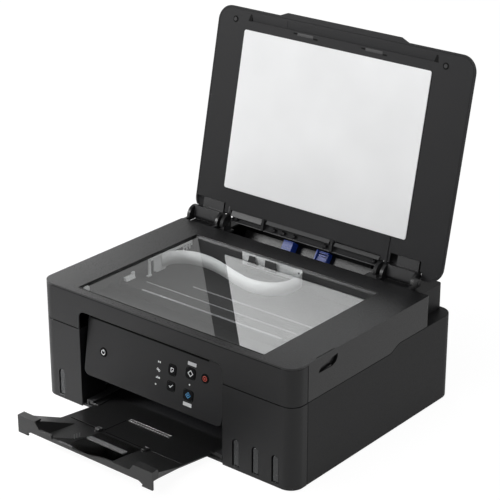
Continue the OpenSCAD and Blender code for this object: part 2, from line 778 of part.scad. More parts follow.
// Paper guide: side wall on the chute, ribbed grip, tab through the slot and rack behind
module paper_guide(side) {
    x_in = side * guide_half_gap;
    v_tab = side < 0 ? tab_v[0] : tab_v[1] - 3.2;
    wall_out = x_in + side * 2.2;
    grip_out = x_in + side * guide_grip_w;
    tab_out = x_in + side * guide_tab_w;
    rack_in = x_in - side * (guide_travel + 2 * rack_pitch_r + 6);
    color("#2a4fb0") chute_pose() {
        block(min(x_in, wall_out), max(x_in, wall_out), 60, guide_top_v, 0.5, 14);
        block(min(x_in, grip_out), max(x_in, grip_out), guide_top_v - 18, guide_top_v, 0.5, 10.5);
        for (i = [0 : 4]) translate([0, guide_top_v - 16.6 + 3.4 * i, 10])
            block(min(wall_out, grip_out) + 1, max(wall_out, grip_out) - 1, 0, 1.4, 0, 1.6);
        block(min(x_in, tab_out), max(x_in, tab_out), v_tab, v_tab + 3.2, -5.8, 1);
        rack(min(rack_in, tab_out), max(rack_in, tab_out), -side);
    }
}

module paper_guide_left() { paper_guide(-1); }
module paper_guide_right() { paper_guide(1); }

module guide_pinion() {
    color("#c9ccd1") chute_pose() translate([0, rack_v, 0]) {
        translate([0, 0, -6.4]) linear_extrude(3.4) gear_plan(rack_teeth, rack_module);
        translate([0, 0, -4]) cylinder(r = 3, h = 4.4, $fn = 48);
        translate([0, 0, 0.3]) cylinder(r = 5, h = 1.2, $fn = 48);
    }
}

// Folding paper support, hinged at the top of the rear wall and folded down against it
support_t = 2.8;
support_axis_y = body_d - 2.6;
support_axis_z = housing_top - 5;
support_hub_r = 2.4;
recess_y = support_axis_y - support_hub_r - 0.6;
recess_w = support_w + 1.2;
recess_z = support_axis_z - support_l - 2;

// Room that the folded support lies in, drawn in from the rear wall
module support_recess(grow, z0) {
    block(-recess_w / 2 - grow, recess_w / 2 + grow, recess_y - grow, body_d + 1, z0,
          housing_top + 1);
}

module paper_support() {
    w = support_w / 2;
    color("#2e2f32") from_front() {
        difference() {
            block(-w, w, support_axis_y - 0.6, support_axis_y - 0.6 + support_t,
                  support_axis_z - support_l, support_axis_z);
            for (x = [-w + 30, w - 60]) block(x, x + 30, body_d - 1.4, body_d + 1,
                support_axis_z - support_l + 8, support_axis_z - support_l + 16);
        }
        x_rod(-w, w, support_axis_y, support_axis_z, support_hub_r);
        x_rod(-w - 3.4, w + 3.4, support_axis_y, support_axis_z, 1.5);
    }
}

// ---- print engine ----

sheet_t = 1.6;
rail_half_w = half_w - 12;
rail_z0 = 76;
rail_z1 = 108;
shelf_y = rail_y - 26;
shelf_z = 86;
shelf_edge_h = 6;

module chassis() {
    color("#9a9da1") from_front() difference() {
        union() {
            block(-rail_half_w, rail_half_w, rail_y, rail_y + sheet_t, rail_z0, rail_z1);
            block(-rail_half_w, rail_half_w, shelf_y, rail_y + 1, shelf_z, shelf_z + sheet_t);
            block(-rail_half_w, rail_half_w, shelf_y, shelf_y + sheet_t, shelf_z + 1, shelf_z + shelf_edge_h);
            for (x = [engine_x0 - sheet_t, engine_x1]) {
                block(x, x + sheet_t, eject_y - 12, shelf_y + 3, pan_top, line_z + 11);
                block(x, x + sheet_t, shelf_y + 2, rail_y + 1, pan_top, rail_z0 + 2);
            }
        }
        for (s = [[line_y, feed_r], [eject_y, eject_r]])
            x_rod(engine_x0 - 3, engine_x1 + 3, s[0], line_z, s[1] + shaft_gap);
    }
}

module platen() {
    color("#232427") from_front() {
        x0 = engine_x0 + 1;
        x1 = engine_x1 - 1;
        y0 = eject_y + eject_tyre_r + 1;
        y1 = line_y - feed_r - 1;
        block(x0, x1, y0, y1, platen_z - 6, platen_z - 2.5);
        for (i = [0 : 16]) block(lerp(x0 + 4, x1 - 6, i / 16), lerp(x0 + 4, x1 - 6, i / 16) + 2,
            y0 + 2, y1 - 2, platen_z - 3, platen_z);
        for (x = [x0, x1 - 4]) block(x, x + 4, y0, y1, pan_top, platen_z - 5);
        block(x0, x1, y0, y0 + 2, pan_top + 12, platen_z - 5);
    }
}

module pinch_roller_bar() {
    z = line_z + feed_r + 4.2;
    color("#2f3033") from_front() {
        block(engine_x0 + 2, engine_x1 - 2, line_y + 2, rail_y - 0.5, z + 2.4, z + 5);
        for (i = [0 : 5]) translate([lerp(engine_x0 + 18, engine_x1 - 48, i / 5), 0, 0]) {
            x_rod(0, 30, line_y, z, 3.6);
            block(-2, 0.5, line_y - 3, line_y + 8, z - 2, z + 4);
            block(29.5, 32, line_y - 3, line_y + 8, z - 2, z + 4);
        }
    }
}

// Capping station under the carriage's home place, with one sealing cup per print head
station_y0 = 132;
station_y1 = 212;
station_z = 42;
station_floor_z = 30;
head_pitch = 36;
head_y = 172;
cap_w = 26;
cap_l = 40;
cap_h = 17;
module maintenance_unit() {
    x0 = engine_x1 + 6;
    x1 = half_w - 18;
    color("#3b3c40") from_front() {
        difference() {
            block(x0, x1, station_y0, station_y1, pan_top, station_z);
            block(x0 + wall, x1 - wall, station_y0 + wall, station_y1 - wall, station_floor_z,
                  station_z + 1);
        }
        for (s = [-1, 1]) translate([carriage_home_x + s * head_pitch / 2, head_y, station_floor_z - 1]) {
            difference() {
                block(-cap_w / 2, cap_w / 2, -cap_l / 2, cap_l / 2, 0, cap_h);
                block(2 - cap_w / 2, cap_w / 2 - 2, 2 - cap_l / 2, cap_l / 2 - 2, cap_h - 5, cap_h + 1);
            }
        }
    }
}

// Roller on its shaft with a gear on the left end
module line_feed_roller() {
    color("#55575b") from_front() {
        x_rod(gear_x1 - gear_face - 0.6, engine_x1 + 6, line_y, line_z, feed_r);
        feed_gear(line_y, roller_teeth, 0);
    }
}

module eject_roller() {
    color("#3a3b3e") from_front() {
        x_rod(gear_x1 - gear_face - 0.6, engine_x1 + 6, eject_y, eject_z, eject_r);
        for (i = [0 : 5]) x_rod(lerp(engine_x0 + 12, engine_x1 - 32, i / 5),
            lerp(engine_x0 + 12, engine_x1 - 32, i / 5) + 20, eject_y, eject_z, eject_tyre_r);
        feed_gear(eject_y, roller_teeth, 180 / roller_teeth);
    }
}

module feed_gear(y, teeth, turn) {
    translate([gear_x1 - gear_face, y, line_z]) rotate([0, 90, 0]) rotate([0, 0, turn])
        linear_extrude(gear_face) gear_plan(teeth, gear_m);
}

idler_y = line_y - gear_m * (roller_teeth + idler_teeth) / 2;
motor_y = line_y + gear_m * (roller_teeth + pinion_teeth) / 2;

// The idler's teeth stand half a pitch off, so that they fall into the gaps of both gears
module idler_gear() {
    color("#d9dadc") from_front() difference() {
        feed_gear(idler_y, idler_teeth, 90 + 180 / idler_teeth);
        x_rod(gear_x1 - 20, gear_x1 + 5, idler_y, line_z, 3 + shaft_gap);
    }
}

module motor_pinion() {
    color("#c8a85a") from_front() difference() {
        feed_gear(motor_y, pinion_teeth, 90 + 180 / pinion_teeth);
        x_rod(gear_x1 - 20, gear_x1 + 5, motor_y, line_z, 1.5 + shaft_gap);
    }
}

motor_r = 17;
motor_drop = 4;
motor_l = 32;
module paper_feed_motor() {
    color("#8d9095") from_front() {
        x_rod(gear_x1 - gear_face - 3 - motor_l, gear_x1 - gear_face - 3, motor_y + motor_drop, line_z,
              motor_r);
        x_rod(gear_x1 - gear_face - 4, gear_x1 - 1, motor_y, line_z, 1.5);
        // stub that the idler turns on, and the plate that carries it
        x_rod(gear_x1 - gear_face - 3, gear_x1 - 1, idler_y, line_z, 3);
        block(gear_x1 - gear_face - 3, gear_x1 - gear_face - 1.4, idler_y - 6, motor_y + 6,
              pan_top, line_z + 8);
    }
}

carriage_y0 = 146;
carriage_y1 = 194;
carriage_z0 = 54;
carriage_z1 = 104;
module print_carriage() {
    x = carriage_home_x;
    w = carriage_w / 2;
    color("#2b2c2f") from_front() {
        difference() {
            block(x - w, x + w, carriage_y0, carriage_y1, carriage_z0, carriage_z1);
            block(x - w + 3, x - 1, carriage_y0 - 3, carriage_y1 - 6, carriage_z0 + 6, carriage_z1 + 2);
            block(x + 1, x + w - 3, carriage_y0 - 3, carriage_y1 - 6, carriage_z0 + 6, carriage_z1 + 2);
            for (s = [-1, 1]) block(x + s * head_pitch / 2 - 11, x + s * head_pitch / 2 + 11,
                head_y - 18, head_y + 14, carriage_z0 - 4, carriage_z0 + 8);
        }
        // arms that ride on the shelf of the rail, and the clip on the belt
        block(x - w + 4, x + w - 4, carriage_y1 - 1, shelf_y + 4, shelf_z + 6.5, shelf_z + 9);
        block(x - w + 4, x + w - 4, shelf_y + 4, shelf_y + 8, shelf_z + 2.2, shelf_z + 9);
        block(x - w + 4, x + w - 4, carriage_y1 - 1, shelf_y - 1, shelf_z - 6, shelf_z - 2);
        block(x - 8, x + 8, carriage_y1 - 1, belt_y - belt_r - 1.1, belt_z - 6.5, belt_z + 4.5);
    }
}

module print_head(i) {
    x = carriage_home_x + i * head_pitch / 2;
    y0 = carriage_y0 + 2;
    y1 = carriage_y1 - 6.6;
    z0 = carriage_z0 + 6.4;
    z1 = carriage_z1 - 6;
    from_front() {
        difference() {
            union() {
                block(x - 15.6, x + 15.6, y0, y1, z0, z1);
                block(x - 10, x + 10, head_y - 16, head_y + 12, carriage_z0 - 3.8, z0 + 0.6);
            }
            block(x - 12, x + 12, y0 + 4, y1 - 4.4, z1 - 6, z1 + 1);
        }
    }
}

module print_head_black() { color("#1e1f21") print_head(-1); }
module print_head_colour() { color("#1e1f21") print_head(1); }

module carriage_belt() {
    t = 1;
    color("#1b1b1c") from_front() translate([0, 0, belt_z - 3]) linear_extrude(6) difference() {
        belt_plan(belt_r + t);
        belt_plan(belt_r + 0.3);
    }
}

module belt_plan(r) {
    translate([drive_x, belt_y - r]) square([idler_x - drive_x, 2 * r]);
    for (x = [drive_x, idler_x]) translate([x, belt_y]) circle(r = r, $fn = 48);
}

module pulley(x) {
    color("#b9bcc0") from_front() translate([x, belt_y, belt_z]) difference() {
        union() {
            translate([0, 0, -3.6]) cylinder(r = belt_r, h = 7.2, $fn = 48);
            translate([0, 0, 3.4]) cylinder(r = belt_r + 1.6, h = 1, $fn = 48);
            translate([0, 0, -4.4]) cylinder(r = belt_r + 1.6, h = 1, $fn = 48);
        }
        translate([0, 0, -6]) cylinder(r = 1.5 + shaft_gap, h = 12, $fn = 48);
    }
}

module drive_pulley() { pulley(drive_x); }
module idler_pulley() { pulley(idler_x); }

drive_motor_r = 13;
drive_motor_z = 58;
drive_motor_h = 27;

module pulley_pin(x, z0) {
    translate([x, belt_y, z0]) cylinder(r = 1.5, h = belt_z + 6 - z0, $fn = 32);
}

// Motor below the drive pulley, and the bracket with the idler pulley's pin
module carriage_motor() {
    color("#8d9095") from_front() {
        translate([drive_x, belt_y, drive_motor_z]) cylinder(r = drive_motor_r, h = drive_motor_h, $fn = 64);
        pulley_pin(drive_x, drive_motor_z + drive_motor_h - 1);
        pulley_pin(idler_x, shelf_z + 2);
        translate([idler_x, belt_y, shelf_z + 2]) cylinder(r = 3.6, h = 4, $fn = 32);
    }
}

// ---- power and electronics ----

inlet_w = 27;
inlet_h = 20;
inlet_x = -150;
inlet_z = 14;
usb_x = 92;
board_z = 20;

supply_x1 = -60;
supply_y0 = chute_y;
supply_z = 42;
board_x0 = -40;
board_x1 = 120;
board_y0 = chute_y + 4;
board_t = 1.6;
module power_supply() {
    color("#303135") from_front() difference() {
        block(22 - half_w, supply_x1, supply_y0, body_d - wall - 1, pan_top, supply_z);
        block(inlet_x - inlet_w / 2 - 0.3, inlet_x + inlet_w / 2 + 0.3, body_d - 30, body_d, inlet_z - 0.3,
              inlet_z + inlet_h + 0.3);
    }
}

module power_inlet() {
    color("#1a1b1d") from_front() difference() {
        block(inlet_x - inlet_w / 2, inlet_x + inlet_w / 2, body_d - 26, body_d - 0.4, inlet_z,
              inlet_z + inlet_h);
        translate([inlet_x, body_d + 1, inlet_z + inlet_h / 2]) rotate([90, 0, 0])
            linear_extrude(18) union() {
                for (s = [-1, 1]) translate([s * 4.2, 0]) circle(r = 4.4, $fn = 48);
                translate([-4.2, -4.4]) square([8.4, 8.8]);
            }
    }
    color("#c9ccd1") from_front() for (s = [-1, 1])
        translate([inlet_x + s * 4.2, body_d - 6, inlet_z + inlet_h / 2]) rotate([90, 0, 0])
            cylinder(r = 1.2, h = 12, $fn = 32);
}

module main_board() {
    color("#1f5a3c") from_front() {
        block(board_x0, board_x1, board_y0, body_d - wall - 1, board_z, board_z + board_t);
        for (x = [board_x0 + 6, board_x1 - 6]) for (y = [board_y0 + 4, body_d - 9])
            translate([x, y, pan_top]) cylinder(r = 3, h = board_z - pan_top, $fn = 32);
        block(0, 22, board_y0 + 18, board_y0 + 40, board_z + board_t, board_z + 4);
        block(44, 62, board_y0 + 14, board_y0 + 32, board_z + board_t, board_z + 3.6);
    }
    color("#a9acb0") from_front() difference() {
        block(usb_x - 6, usb_x + 6, body_d - 20, body_d - 0.8, board_z + board_t, board_z + 12.6);
        block(usb_x - 4.6, usb_x + 4.6, body_d - 14, body_d + 1, board_z + 3, board_z + 11.2);
    }
}

// ---- scanner unit ----

scanner_floor_z = rear_seam_z + 5;

module front_bezel() {
    color("#3f4043") from_front() difference() {
        union() {
            difference() {
                translate([0, 0, front_seam_z]) linear_extrude(frame_under - front_seam_z - 0.2)
                    case_plan(0);
                translate([0, 0, front_seam_z - 1]) linear_extrude(top_z) case_plan(wall);
            }
        }
        block(-half_w - 1, half_w + 1, front_wrap - seam_gap / 2, body_d + 1, 0, top_z + 1);
        translate([0, wall + 1, 0]) rotate([90, 0, 0]) linear_extrude(wall + 2) union() {
            translate([opening_x0, 0]) square([opening_w, opening_top - opening_corner_r]);
            translate([opening_x0 + opening_corner_r, 0])
                square([opening_w - 2 * opening_corner_r, opening_top]);
            for (x = [opening_x0 + opening_corner_r, opening_x1 - opening_corner_r])
                translate([x, opening_top - opening_corner_r]) circle(r = opening_corner_r, $fn = 48);
        }
    }
}

// Upper cover of the scanner unit: the side walls, the top round the glass and the rear wall
module scanner_top_frame() {
    r = 3;
    gx = glass_w / 2;
    color("#4d4e51") from_front() difference() {
        union() {
            difference() {
                translate([0, 0, front_seam_z - 1]) linear_extrude(frame_under - front_seam_z + 1)
                    rounded_plan(-half_w, half_w, 0, scanner_d, front_corner_r, r);
                translate([0, 0, front_seam_z - 2]) linear_extrude(top_z) rounded_plan(
                    -inner_x, inner_x, wall, scanner_d - wall, front_corner_r - wall, r - wall);
                block(-half_w - 1, half_w + 1, -1, front_wrap + seam_gap / 2, 0, top_z);
                seam_side(false, seam_gap);
            }
            translate([0, 0, frame_under]) linear_extrude(frame_t)
                rounded_plan(-half_w, half_w, 0, scanner_d, front_corner_r, r);
            for (x = concat(scanner_knuckles_left, scanner_knuckles_right)) scanner_knuckle(x);
            for (h = [hinge_left, hinge_right])
                block(h[0] - 1, h[1] + 1, scanner_d - 1, hinge_y + 2, hinge_seat_z, hinge_seat_z + 1.6);
        }
        block(-gx, gx, glass_y, glass_y + glass_l, frame_under - 1, top_z + 1);
        for (x = concat(scanner_knuckles_left, scanner_knuckles_right))
            x_rod(x - 1, x + knuckle_w + 1, hinge_y, hinge_z, pin_r);
        finger_notch();
    }
}

knuckle_w = 4.4;
scanner_knuckles_left = [hinge_left[0] - knuckle_w - 0.6, hinge_left[1] + 0.6];
scanner_knuckles_right = [hinge_right[0] - knuckle_w - 0.6, hinge_right[1] + 0.6];

// Top of the rear housing's clearance, under the seat plate between each hinge's two ears
hinge_seat_z = housing_top + 0.8;

module scanner_knuckle(x) {
    ear(x, x + knuckle_w);
    block(x, x + knuckle_w, scanner_d - 1, hinge_y, hinge_z - knuckle_r, hinge_z - 0.4);
}

// Grip on the right side for lifting the scanner unit
module finger_notch() {
    translate([half_w - wall - 1, 47, 144]) rotate([90, 0, 90]) linear_extrude(wall + 2)
        polygon([[0, 0], [26, 0], [33, 3], [36, 8], [36, 13], [5, 7], [0, 3]]);
    block(half_w - 2.6, half_w - 1.4, 43.5, 79.5, top_z - 1, top_z + 1);
}

// The scan bar parks beside the glass opening, in the room at the bed's left end
bar_park_x = -glass_w / 2 - scan_bar_w;

module scanner_base() {
    x0 = bar_park_x - 4;
    x1 = glass_w / 2 + 9;
    y0 = glass_y - 1.6;
    y1 = behind_glass(0.16);
    step_y = cheek_depth;
    z0 = scanner_floor_z;
    z1 = frame_under - glass_t - 0.1;
    color("#5a5b5e") from_front() difference() {
        union() {
            block(x0, x1, step_y, y1, z0, z1);
            block(x0, x1, y0, step_y + 1, z1 - 16, z1);
            block(-inner_x + 0.4, inner_x - 0.4, 60, scanner_d - wall - 4, z0, z0 + 2.4);
        }
        block(x0 + 2.4, x1 - 2.4, step_y + 2.4, y1 - 2.4, z0 + 2.4, z1 + 1);
        block(x0 + 2.4, x1 - 2.4, y0 + 2.4, step_y + 3, z1 - 13.6, z1 + 1);
    }
    // raised guide rail that the scan bar rides on
    color("#6a6b6e") from_front() block(x0 + 3, x1 - 3, 91, 115, z0 + 2, scan_rail_z);
}

scan_rail_z = 141.6;

module scanner_glass() {
    x0 = -glass_w / 2 - 5;
    x1 = glass_w / 2 + 5;
    color([0.75, 0.85, 0.88, 0.3]) from_front() block(x0, x1, glass_y - 0.6, behind_glass(0.14),
        frame_under - glass_t, frame_under - 0.1);
}

// Line behind the glass opening, at a share of the way to the frame's rear wall
function behind_glass(share) = lerp(glass_y + glass_l, scanner_d - wall, share);

module scan_bar() {
    x0 = bar_park_x;
    x1 = x0 + scan_bar_w;
    z1 = frame_under - glass_t - 0.6;
    color("#2a2b2e") from_front() {
        block(x0, x1, glass_y + 4, glass_y + glass_l - 6, z1 - 12, z1);
        block(x0, x1, 87, 90.4, scan_rail_z - 4, z1 - 11);
        block(x0, x1, 115.6, 119, scan_rail_z - 4, z1 - 11);
        block(x0, x1, 87, 119, scan_rail_z + 0.6, z1 - 11);
    }
}

// Flat cable that stands on its edge: from the scan bar in one wave to the bed's rear wall, then
// back along that wall. Its points are distances from the bar's side and from the rear wall.
ribbon_points = [[3, -79], [6, -68], [11, -60], [20, -52], [34, -46.5], [52, -45], [72, -47.5],
    [98, -55], [124, -63.5], [147, -68], [164, -66], [179, -58.5], [188, -46], [191, -31],
    [190, -17], [184, -6], [177, -3.2], [81, -3.2]];
ribbon_w = 19.2;
ribbon_t = 0.7;
module ribbon_cable() {
    x0 = bar_park_x + scan_bar_w;
    y1 = behind_glass(0.16);
    z1 = frame_under - glass_t - 0.5;
    color("#e9ebee") from_front() translate([x0, y1, z1 - ribbon_w]) linear_extrude(ribbon_w)
        for (i = [0 : len(ribbon_points) - 2]) ribbon_leg(ribbon_points[i], ribbon_points[i + 1]);
}

// One straight length of the cable with round ends, seen from above
module ribbon_leg(a, b) {
    run = b - a;
    translate(a) rotate([0, 0, atan2(run[1], run[0])]) {
        translate([0, -ribbon_t / 2]) square([norm(run), ribbon_t]);
        circle(r = ribbon_t / 2, $fn = 12);
    }
}

module hinge_pins() {
    color("#b9bcc0") from_front() {
        x_rod(hinge_left[0] - knuckle_w - 1.2, root_ears()[0] + root_ear_w + 0.6, hinge_y, hinge_z, pin_r);
        x_rod(root_ears()[1] - 0.6, hinge_right[1] + knuckle_w + 1.2, hinge_y, hinge_z, pin_r);
    }
}

// ---- document cover ----

// The cover is drawn closed and then swung open about the hinge axis
module cover_pose() {
    from_front() translate([0, hinge_y, hinge_z]) rotate([-cover_open, 0, 0])
        translate([0, -hinge_y, -hinge_z]) children();
}

inner_t = 2;
pocket_y = hinge_y - 28;
trough_y = hinge_y - 20.5;

module cover_plan(inset) {
    rounded_plan(-half_w + inset, half_w - inset, cover_front_y + inset, cover_rear_y - inset,
                 cover_corner_r - inset, cover_corner_r - inset);
}

// Outer body of the cover: an upright rim, then a slope that leads to the flat outer face
module cover_body(inset, t) {
    hull() {
        translate([0, 0, cover_z]) linear_extrude(cover_rim) cover_plan(inset);
        translate([0, 0, cover_z + t - 0.5]) linear_extrude(0.5) cover_plan(inset + cover_slope);
    }
}

module cover_shell() {
    color("#35363a") cover_pose() difference() {
        union() {
            cover_body(0, cover_t);
            hull() {
                translate([0, 0, cover_z]) linear_extrude(cover_rim) grip_plan(0);
                translate([0, 0, cover_z + 6]) linear_extrude(0.5) grip_plan(4);
            }
        }
        cover_cavity();
        cover_hinge_cuts();
        ear_slots();
    }
}

// Hollow of the cover's shell, open towards the inner panel
module cover_cavity() {
    hull() {
        translate([0, 0, cover_z - 1]) linear_extrude(cover_rim + 0.6) cover_plan(wall);
        translate([0, 0, cover_z + cover_t - 3]) linear_extrude(0.6) cover_plan(wall + cover_slope);
    }
}

module grip_plan(back) {
    y = cover_front_y - grip_proud + back;
    polygon([[-104, cover_front_y + 20], [-104, cover_front_y + back], [-92, y], [92, y],
             [104, cover_front_y + back], [104, cover_front_y + 20]]);
}

// Room for the hinge blocks and knuckles at the rear edge
module cover_hinge_cuts() {
    for (h = [hinge_left, hinge_right])
        block(h[0] - 6, h[1] + 6, hinge_y - 14, cover_rear_y + 5, cover_z - 1, cover_z + 4);
}

// Slots in the cover's rear edge, in which the ears stand
module ear_slots() {
    g = 0.7;
    for (x = [[-half_w - 1, hinge_left[0] - 0.6],
              [hinge_left[1] + 0.6, root_ears()[0] + root_ear_w],
              [root_ears()[1], hinge_right[0] - 0.6],
              [hinge_right[1] + 0.6, hinge_right[1] + 0.6 + knuckle_w]])
        block(x[0] - g, x[1] + g, hinge_y - ear_r - g, cover_rear_y + 5, cover_z - 1,
              hinge_z + ear_r + g);
}

// Pockets in the inner panel round the hinges, and the trough between them
module hinge_pockets() {
    for (h = [hinge_left, hinge_right])
        block(h[0] - 3, h[1] + 3, pocket_y, cover_rear_y + 5, cover_z - 1, cover_z + 4);
    block(hinge_left[1] + 15, hinge_right[0] - 17, trough_y, hinge_y, cover_z - 1, cover_z + 4);
}

module cover_inner_panel() {
    color("#3d3e41") cover_pose() difference() {
        translate([0, 0, cover_z]) linear_extrude(inner_t) cover_plan(wall + 0.3);
        hinge_pockets();
        cover_hinge_cuts();
        ear_slots();
        handle_recess(-150, 150, cover_front_y + 7, 1);
        handle_recess(-90, 92, cover_front_y + 4, 1.3);
    }
}

// Recess along the free edge: a slope that runs from y0 down to a step
module handle_recess(x0, x1, y0, depth) {
    y1 = cover_front_y + 16;
    translate([x0, 0, 0]) rotate([90, 0, 90]) linear_extrude(x1 - x0)
        polygon([[y0, cover_z - 1], [y0, cover_z], [y1, cover_z + depth], [y1, cover_z - 1]]);
}

module cover_pad() {
    y1 = cover_front_y + 248.5;
    color("#f2f2f0") cover_pose()
        plate(pad_cx - pad_w / 2, pad_cx + pad_w / 2, y1 - pad_l, y1, cover_z - pad_proud, cover_z - 0.02, 3);
}

module cover_hinges() {
    color("#242528") cover_pose() for (h = [hinge_left, hinge_right]) difference() {
        union() {
            x_rod(h[0], h[1], hinge_y, hinge_z, knuckle_r);
            block(h[0], h[1], hinge_y - 13.6, hinge_y, hinge_z - knuckle_r, cover_z + 3.6);
            // leaf in the pocket, and the posts that join it to the cover's shell
            block(h[0] + 8, h[1], pocket_y + 0.6, hinge_y - 13, cover_z + 1.2, cover_z + 3.6);
            for (x = [h[0] + cover_slope, h[1] - 7])
                block(x, x + 4, pocket_y + 0.6, pocket_y + 4.6, cover_z + 3, cover_z + cover_t - 2.4);
        }
        x_rod(h[0] - 1, h[1] + 1, hinge_y, hinge_z, pin_r + shaft_gap);
    }
}

module feed_roller() {
    n = feed_roller_r + 0.8;
    hw = chute_w / 2;
    color("#4a4b4e") chute_pose() {
        x_rod(-hw - cheek_t - 4, hw + cheek_t + 4, feed_roller_v, n, 4);
        for (x = [-40, 20]) x_rod(x, x + 20, feed_roller_v, n, feed_roller_r);
    }
}

base_pan();
rubber_feet();
main_case();
front_panel_left();
front_panel_right();
operation_panel();
indicator_lights();
rear_tray_housing();
paper_chute();
ink_tank_black();
ink_tank_cyan();
ink_tank_magenta();
ink_tank_yellow();
tank_cap_black();
tank_cap_cyan();
tank_cap_magenta();
tank_cap_yellow();
power_button();
copies_button();
ok_button();
black_start_button();
stop_button();
colour_start_button();
output_tray();
tray_extension();
paper_guide_left();
paper_guide_right();
guide_pinion();
paper_support();
feed_roller();
line_feed_roller();
eject_roller();
idler_gear();
motor_pinion();
chassis();
platen();
pinch_roller_bar();
maintenance_unit();
print_carriage();
print_head_black();
print_head_colour();
carriage_belt();
drive_pulley();
idler_pulley();
carriage_motor();
paper_feed_motor();
power_supply();
main_board();
power_inlet();
front_bezel();
scanner_top_frame();
scanner_base();
scanner_glass();
ribbon_cable();
hinge_pins();
scan_bar();
cover_shell();
cover_inner_panel();
cover_pad();
cover_hinges();
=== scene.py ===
import json
import math

import bmesh
import bpy
from mathutils import Matrix, Vector

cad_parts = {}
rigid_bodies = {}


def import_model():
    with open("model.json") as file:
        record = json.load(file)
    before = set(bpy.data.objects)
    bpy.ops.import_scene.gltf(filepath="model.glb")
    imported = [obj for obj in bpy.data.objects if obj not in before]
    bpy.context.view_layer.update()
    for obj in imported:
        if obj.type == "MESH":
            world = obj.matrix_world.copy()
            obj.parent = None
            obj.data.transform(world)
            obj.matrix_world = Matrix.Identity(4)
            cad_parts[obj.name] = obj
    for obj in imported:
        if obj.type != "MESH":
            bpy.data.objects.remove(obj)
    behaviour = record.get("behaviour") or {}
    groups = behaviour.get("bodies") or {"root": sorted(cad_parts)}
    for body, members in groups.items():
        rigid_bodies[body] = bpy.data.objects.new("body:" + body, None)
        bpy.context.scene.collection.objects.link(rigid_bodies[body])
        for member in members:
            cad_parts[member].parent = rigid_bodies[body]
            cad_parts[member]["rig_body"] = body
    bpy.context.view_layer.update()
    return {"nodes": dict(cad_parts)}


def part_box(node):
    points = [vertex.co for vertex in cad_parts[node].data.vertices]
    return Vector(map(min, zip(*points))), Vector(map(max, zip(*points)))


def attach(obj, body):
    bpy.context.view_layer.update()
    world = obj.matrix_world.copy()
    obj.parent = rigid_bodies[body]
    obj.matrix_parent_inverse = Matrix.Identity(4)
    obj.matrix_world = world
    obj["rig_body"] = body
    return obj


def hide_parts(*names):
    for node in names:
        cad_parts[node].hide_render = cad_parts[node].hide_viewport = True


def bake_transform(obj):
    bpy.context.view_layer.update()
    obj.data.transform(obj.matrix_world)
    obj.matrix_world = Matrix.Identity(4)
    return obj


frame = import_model()
scene = bpy.context.scene

# ---- Camera ----
# A long lens at table height to the right of the printer's front. The glass bed, the open cover
# and the pulled-out tray all show in one view.

camera_data = bpy.data.cameras.new("camera")
camera_data.lens = 125.0
camera_data.sensor_width = 36.0
camera_data.clip_start, camera_data.clip_end = 0.05, 50.0
camera = bpy.data.objects.new("camera", camera_data)
camera.location = (1.30194, -1.535616, 1.06795)
camera_aim = Vector((0.010785, 0.031554, 0.2114))
camera.rotation_euler = (camera_aim - camera.location).to_track_quat("-Z", "Y").to_euler()
scene.collection.objects.link(camera)
scene.camera = camera
scene.view_settings.view_transform = "Standard"

# ---- Light and floor ----
# Studio light: a broad key from the front left with a low narrow strip beside it, a weaker fill
# from the right, a top light, one from behind on the left, and a white surround. The floor is a
# plain white sweep that keeps the printer's shadow.

world = bpy.data.worlds.new("studio")
world.use_nodes = True
scene.world = world
tree = world.node_tree
tree.nodes.clear()
seen = tree.nodes.new("ShaderNodeLightPath")
heading = tree.nodes.new("ShaderNodeTexCoord")
height = tree.nodes.new("ShaderNodeSeparateXYZ")
wall_to_ceiling = tree.nodes.new("ShaderNodeMapRange")
wall_to_ceiling.inputs["From Min"].default_value = math.sin(math.radians(9))
wall_to_ceiling.inputs["From Max"].default_value = math.sin(math.radians(19))
wall_to_ceiling.inputs["To Min"].default_value = 1.0
wall_to_ceiling.inputs["To Max"].default_value = 0.25
in_gloss = tree.nodes.new("ShaderNodeMapRange")
in_gloss.inputs["To Min"].default_value = 0.34
mirrored = tree.nodes.new("ShaderNodeMath")
mirrored.operation = "MAXIMUM"
level = tree.nodes.new("ShaderNodeMath")
level.operation = "MAXIMUM"
shell = tree.nodes.new("ShaderNodeBackground")
shell.inputs["Color"].default_value = (1, 1, 1, 1)
out = tree.nodes.new("ShaderNodeOutputWorld")
tree.links.new(heading.outputs["Generated"], height.inputs["Vector"])
tree.links.new(height.outputs["Z"], wall_to_ceiling.inputs["Value"])
tree.links.new(seen.outputs["Is Glossy Ray"], mirrored.inputs[0])
tree.links.new(seen.outputs["Is Transmission Ray"], mirrored.inputs[1])
tree.links.new(mirrored.outputs[0], in_gloss.inputs["Value"])
tree.links.new(wall_to_ceiling.outputs["Result"], in_gloss.inputs["To Max"])
tree.links.new(seen.outputs["Is Camera Ray"], level.inputs[0])
tree.links.new(in_gloss.outputs["Result"], level.inputs[1])
tree.links.new(level.outputs[0], shell.inputs["Strength"])
tree.links.new(shell.outputs[0], out.inputs["Surface"])


def softbox(name, place, size, watts, aim=(0, 0, 0.15), spread=180):
    """Adds a round lamp that faces a point; spread is the full angle of its light."""
    lamp = bpy.data.lights.new(name, "AREA")
    lamp.shape = "DISK"
    lamp.size = size
    lamp.energy = watts
    lamp.spread = math.radians(spread)
    box = bpy.data.objects.new(name, lamp)
    box.location = place
    box.rotation_euler = (Vector(aim) - box.location).to_track_quat("-Z", "Y").to_euler()
    scene.collection.objects.link(box)


softbox("key_light", (-1.3, -1.2, 1.05), 0.8, 17)
softbox("strip_light", (-0.6, -0.5, 0.36), 0.2, 0.3, aim=(-0.2, -0.16, 0.08), spread=36)
softbox("fill_light", (2.3, -0.9, 1.2), 1.4, 9)
softbox("top_light", (0.0, -0.6, 2.4), 1.6, 16)
softbox("back_light", (-2.4, 1.6, 0.6), 1.2, 9)

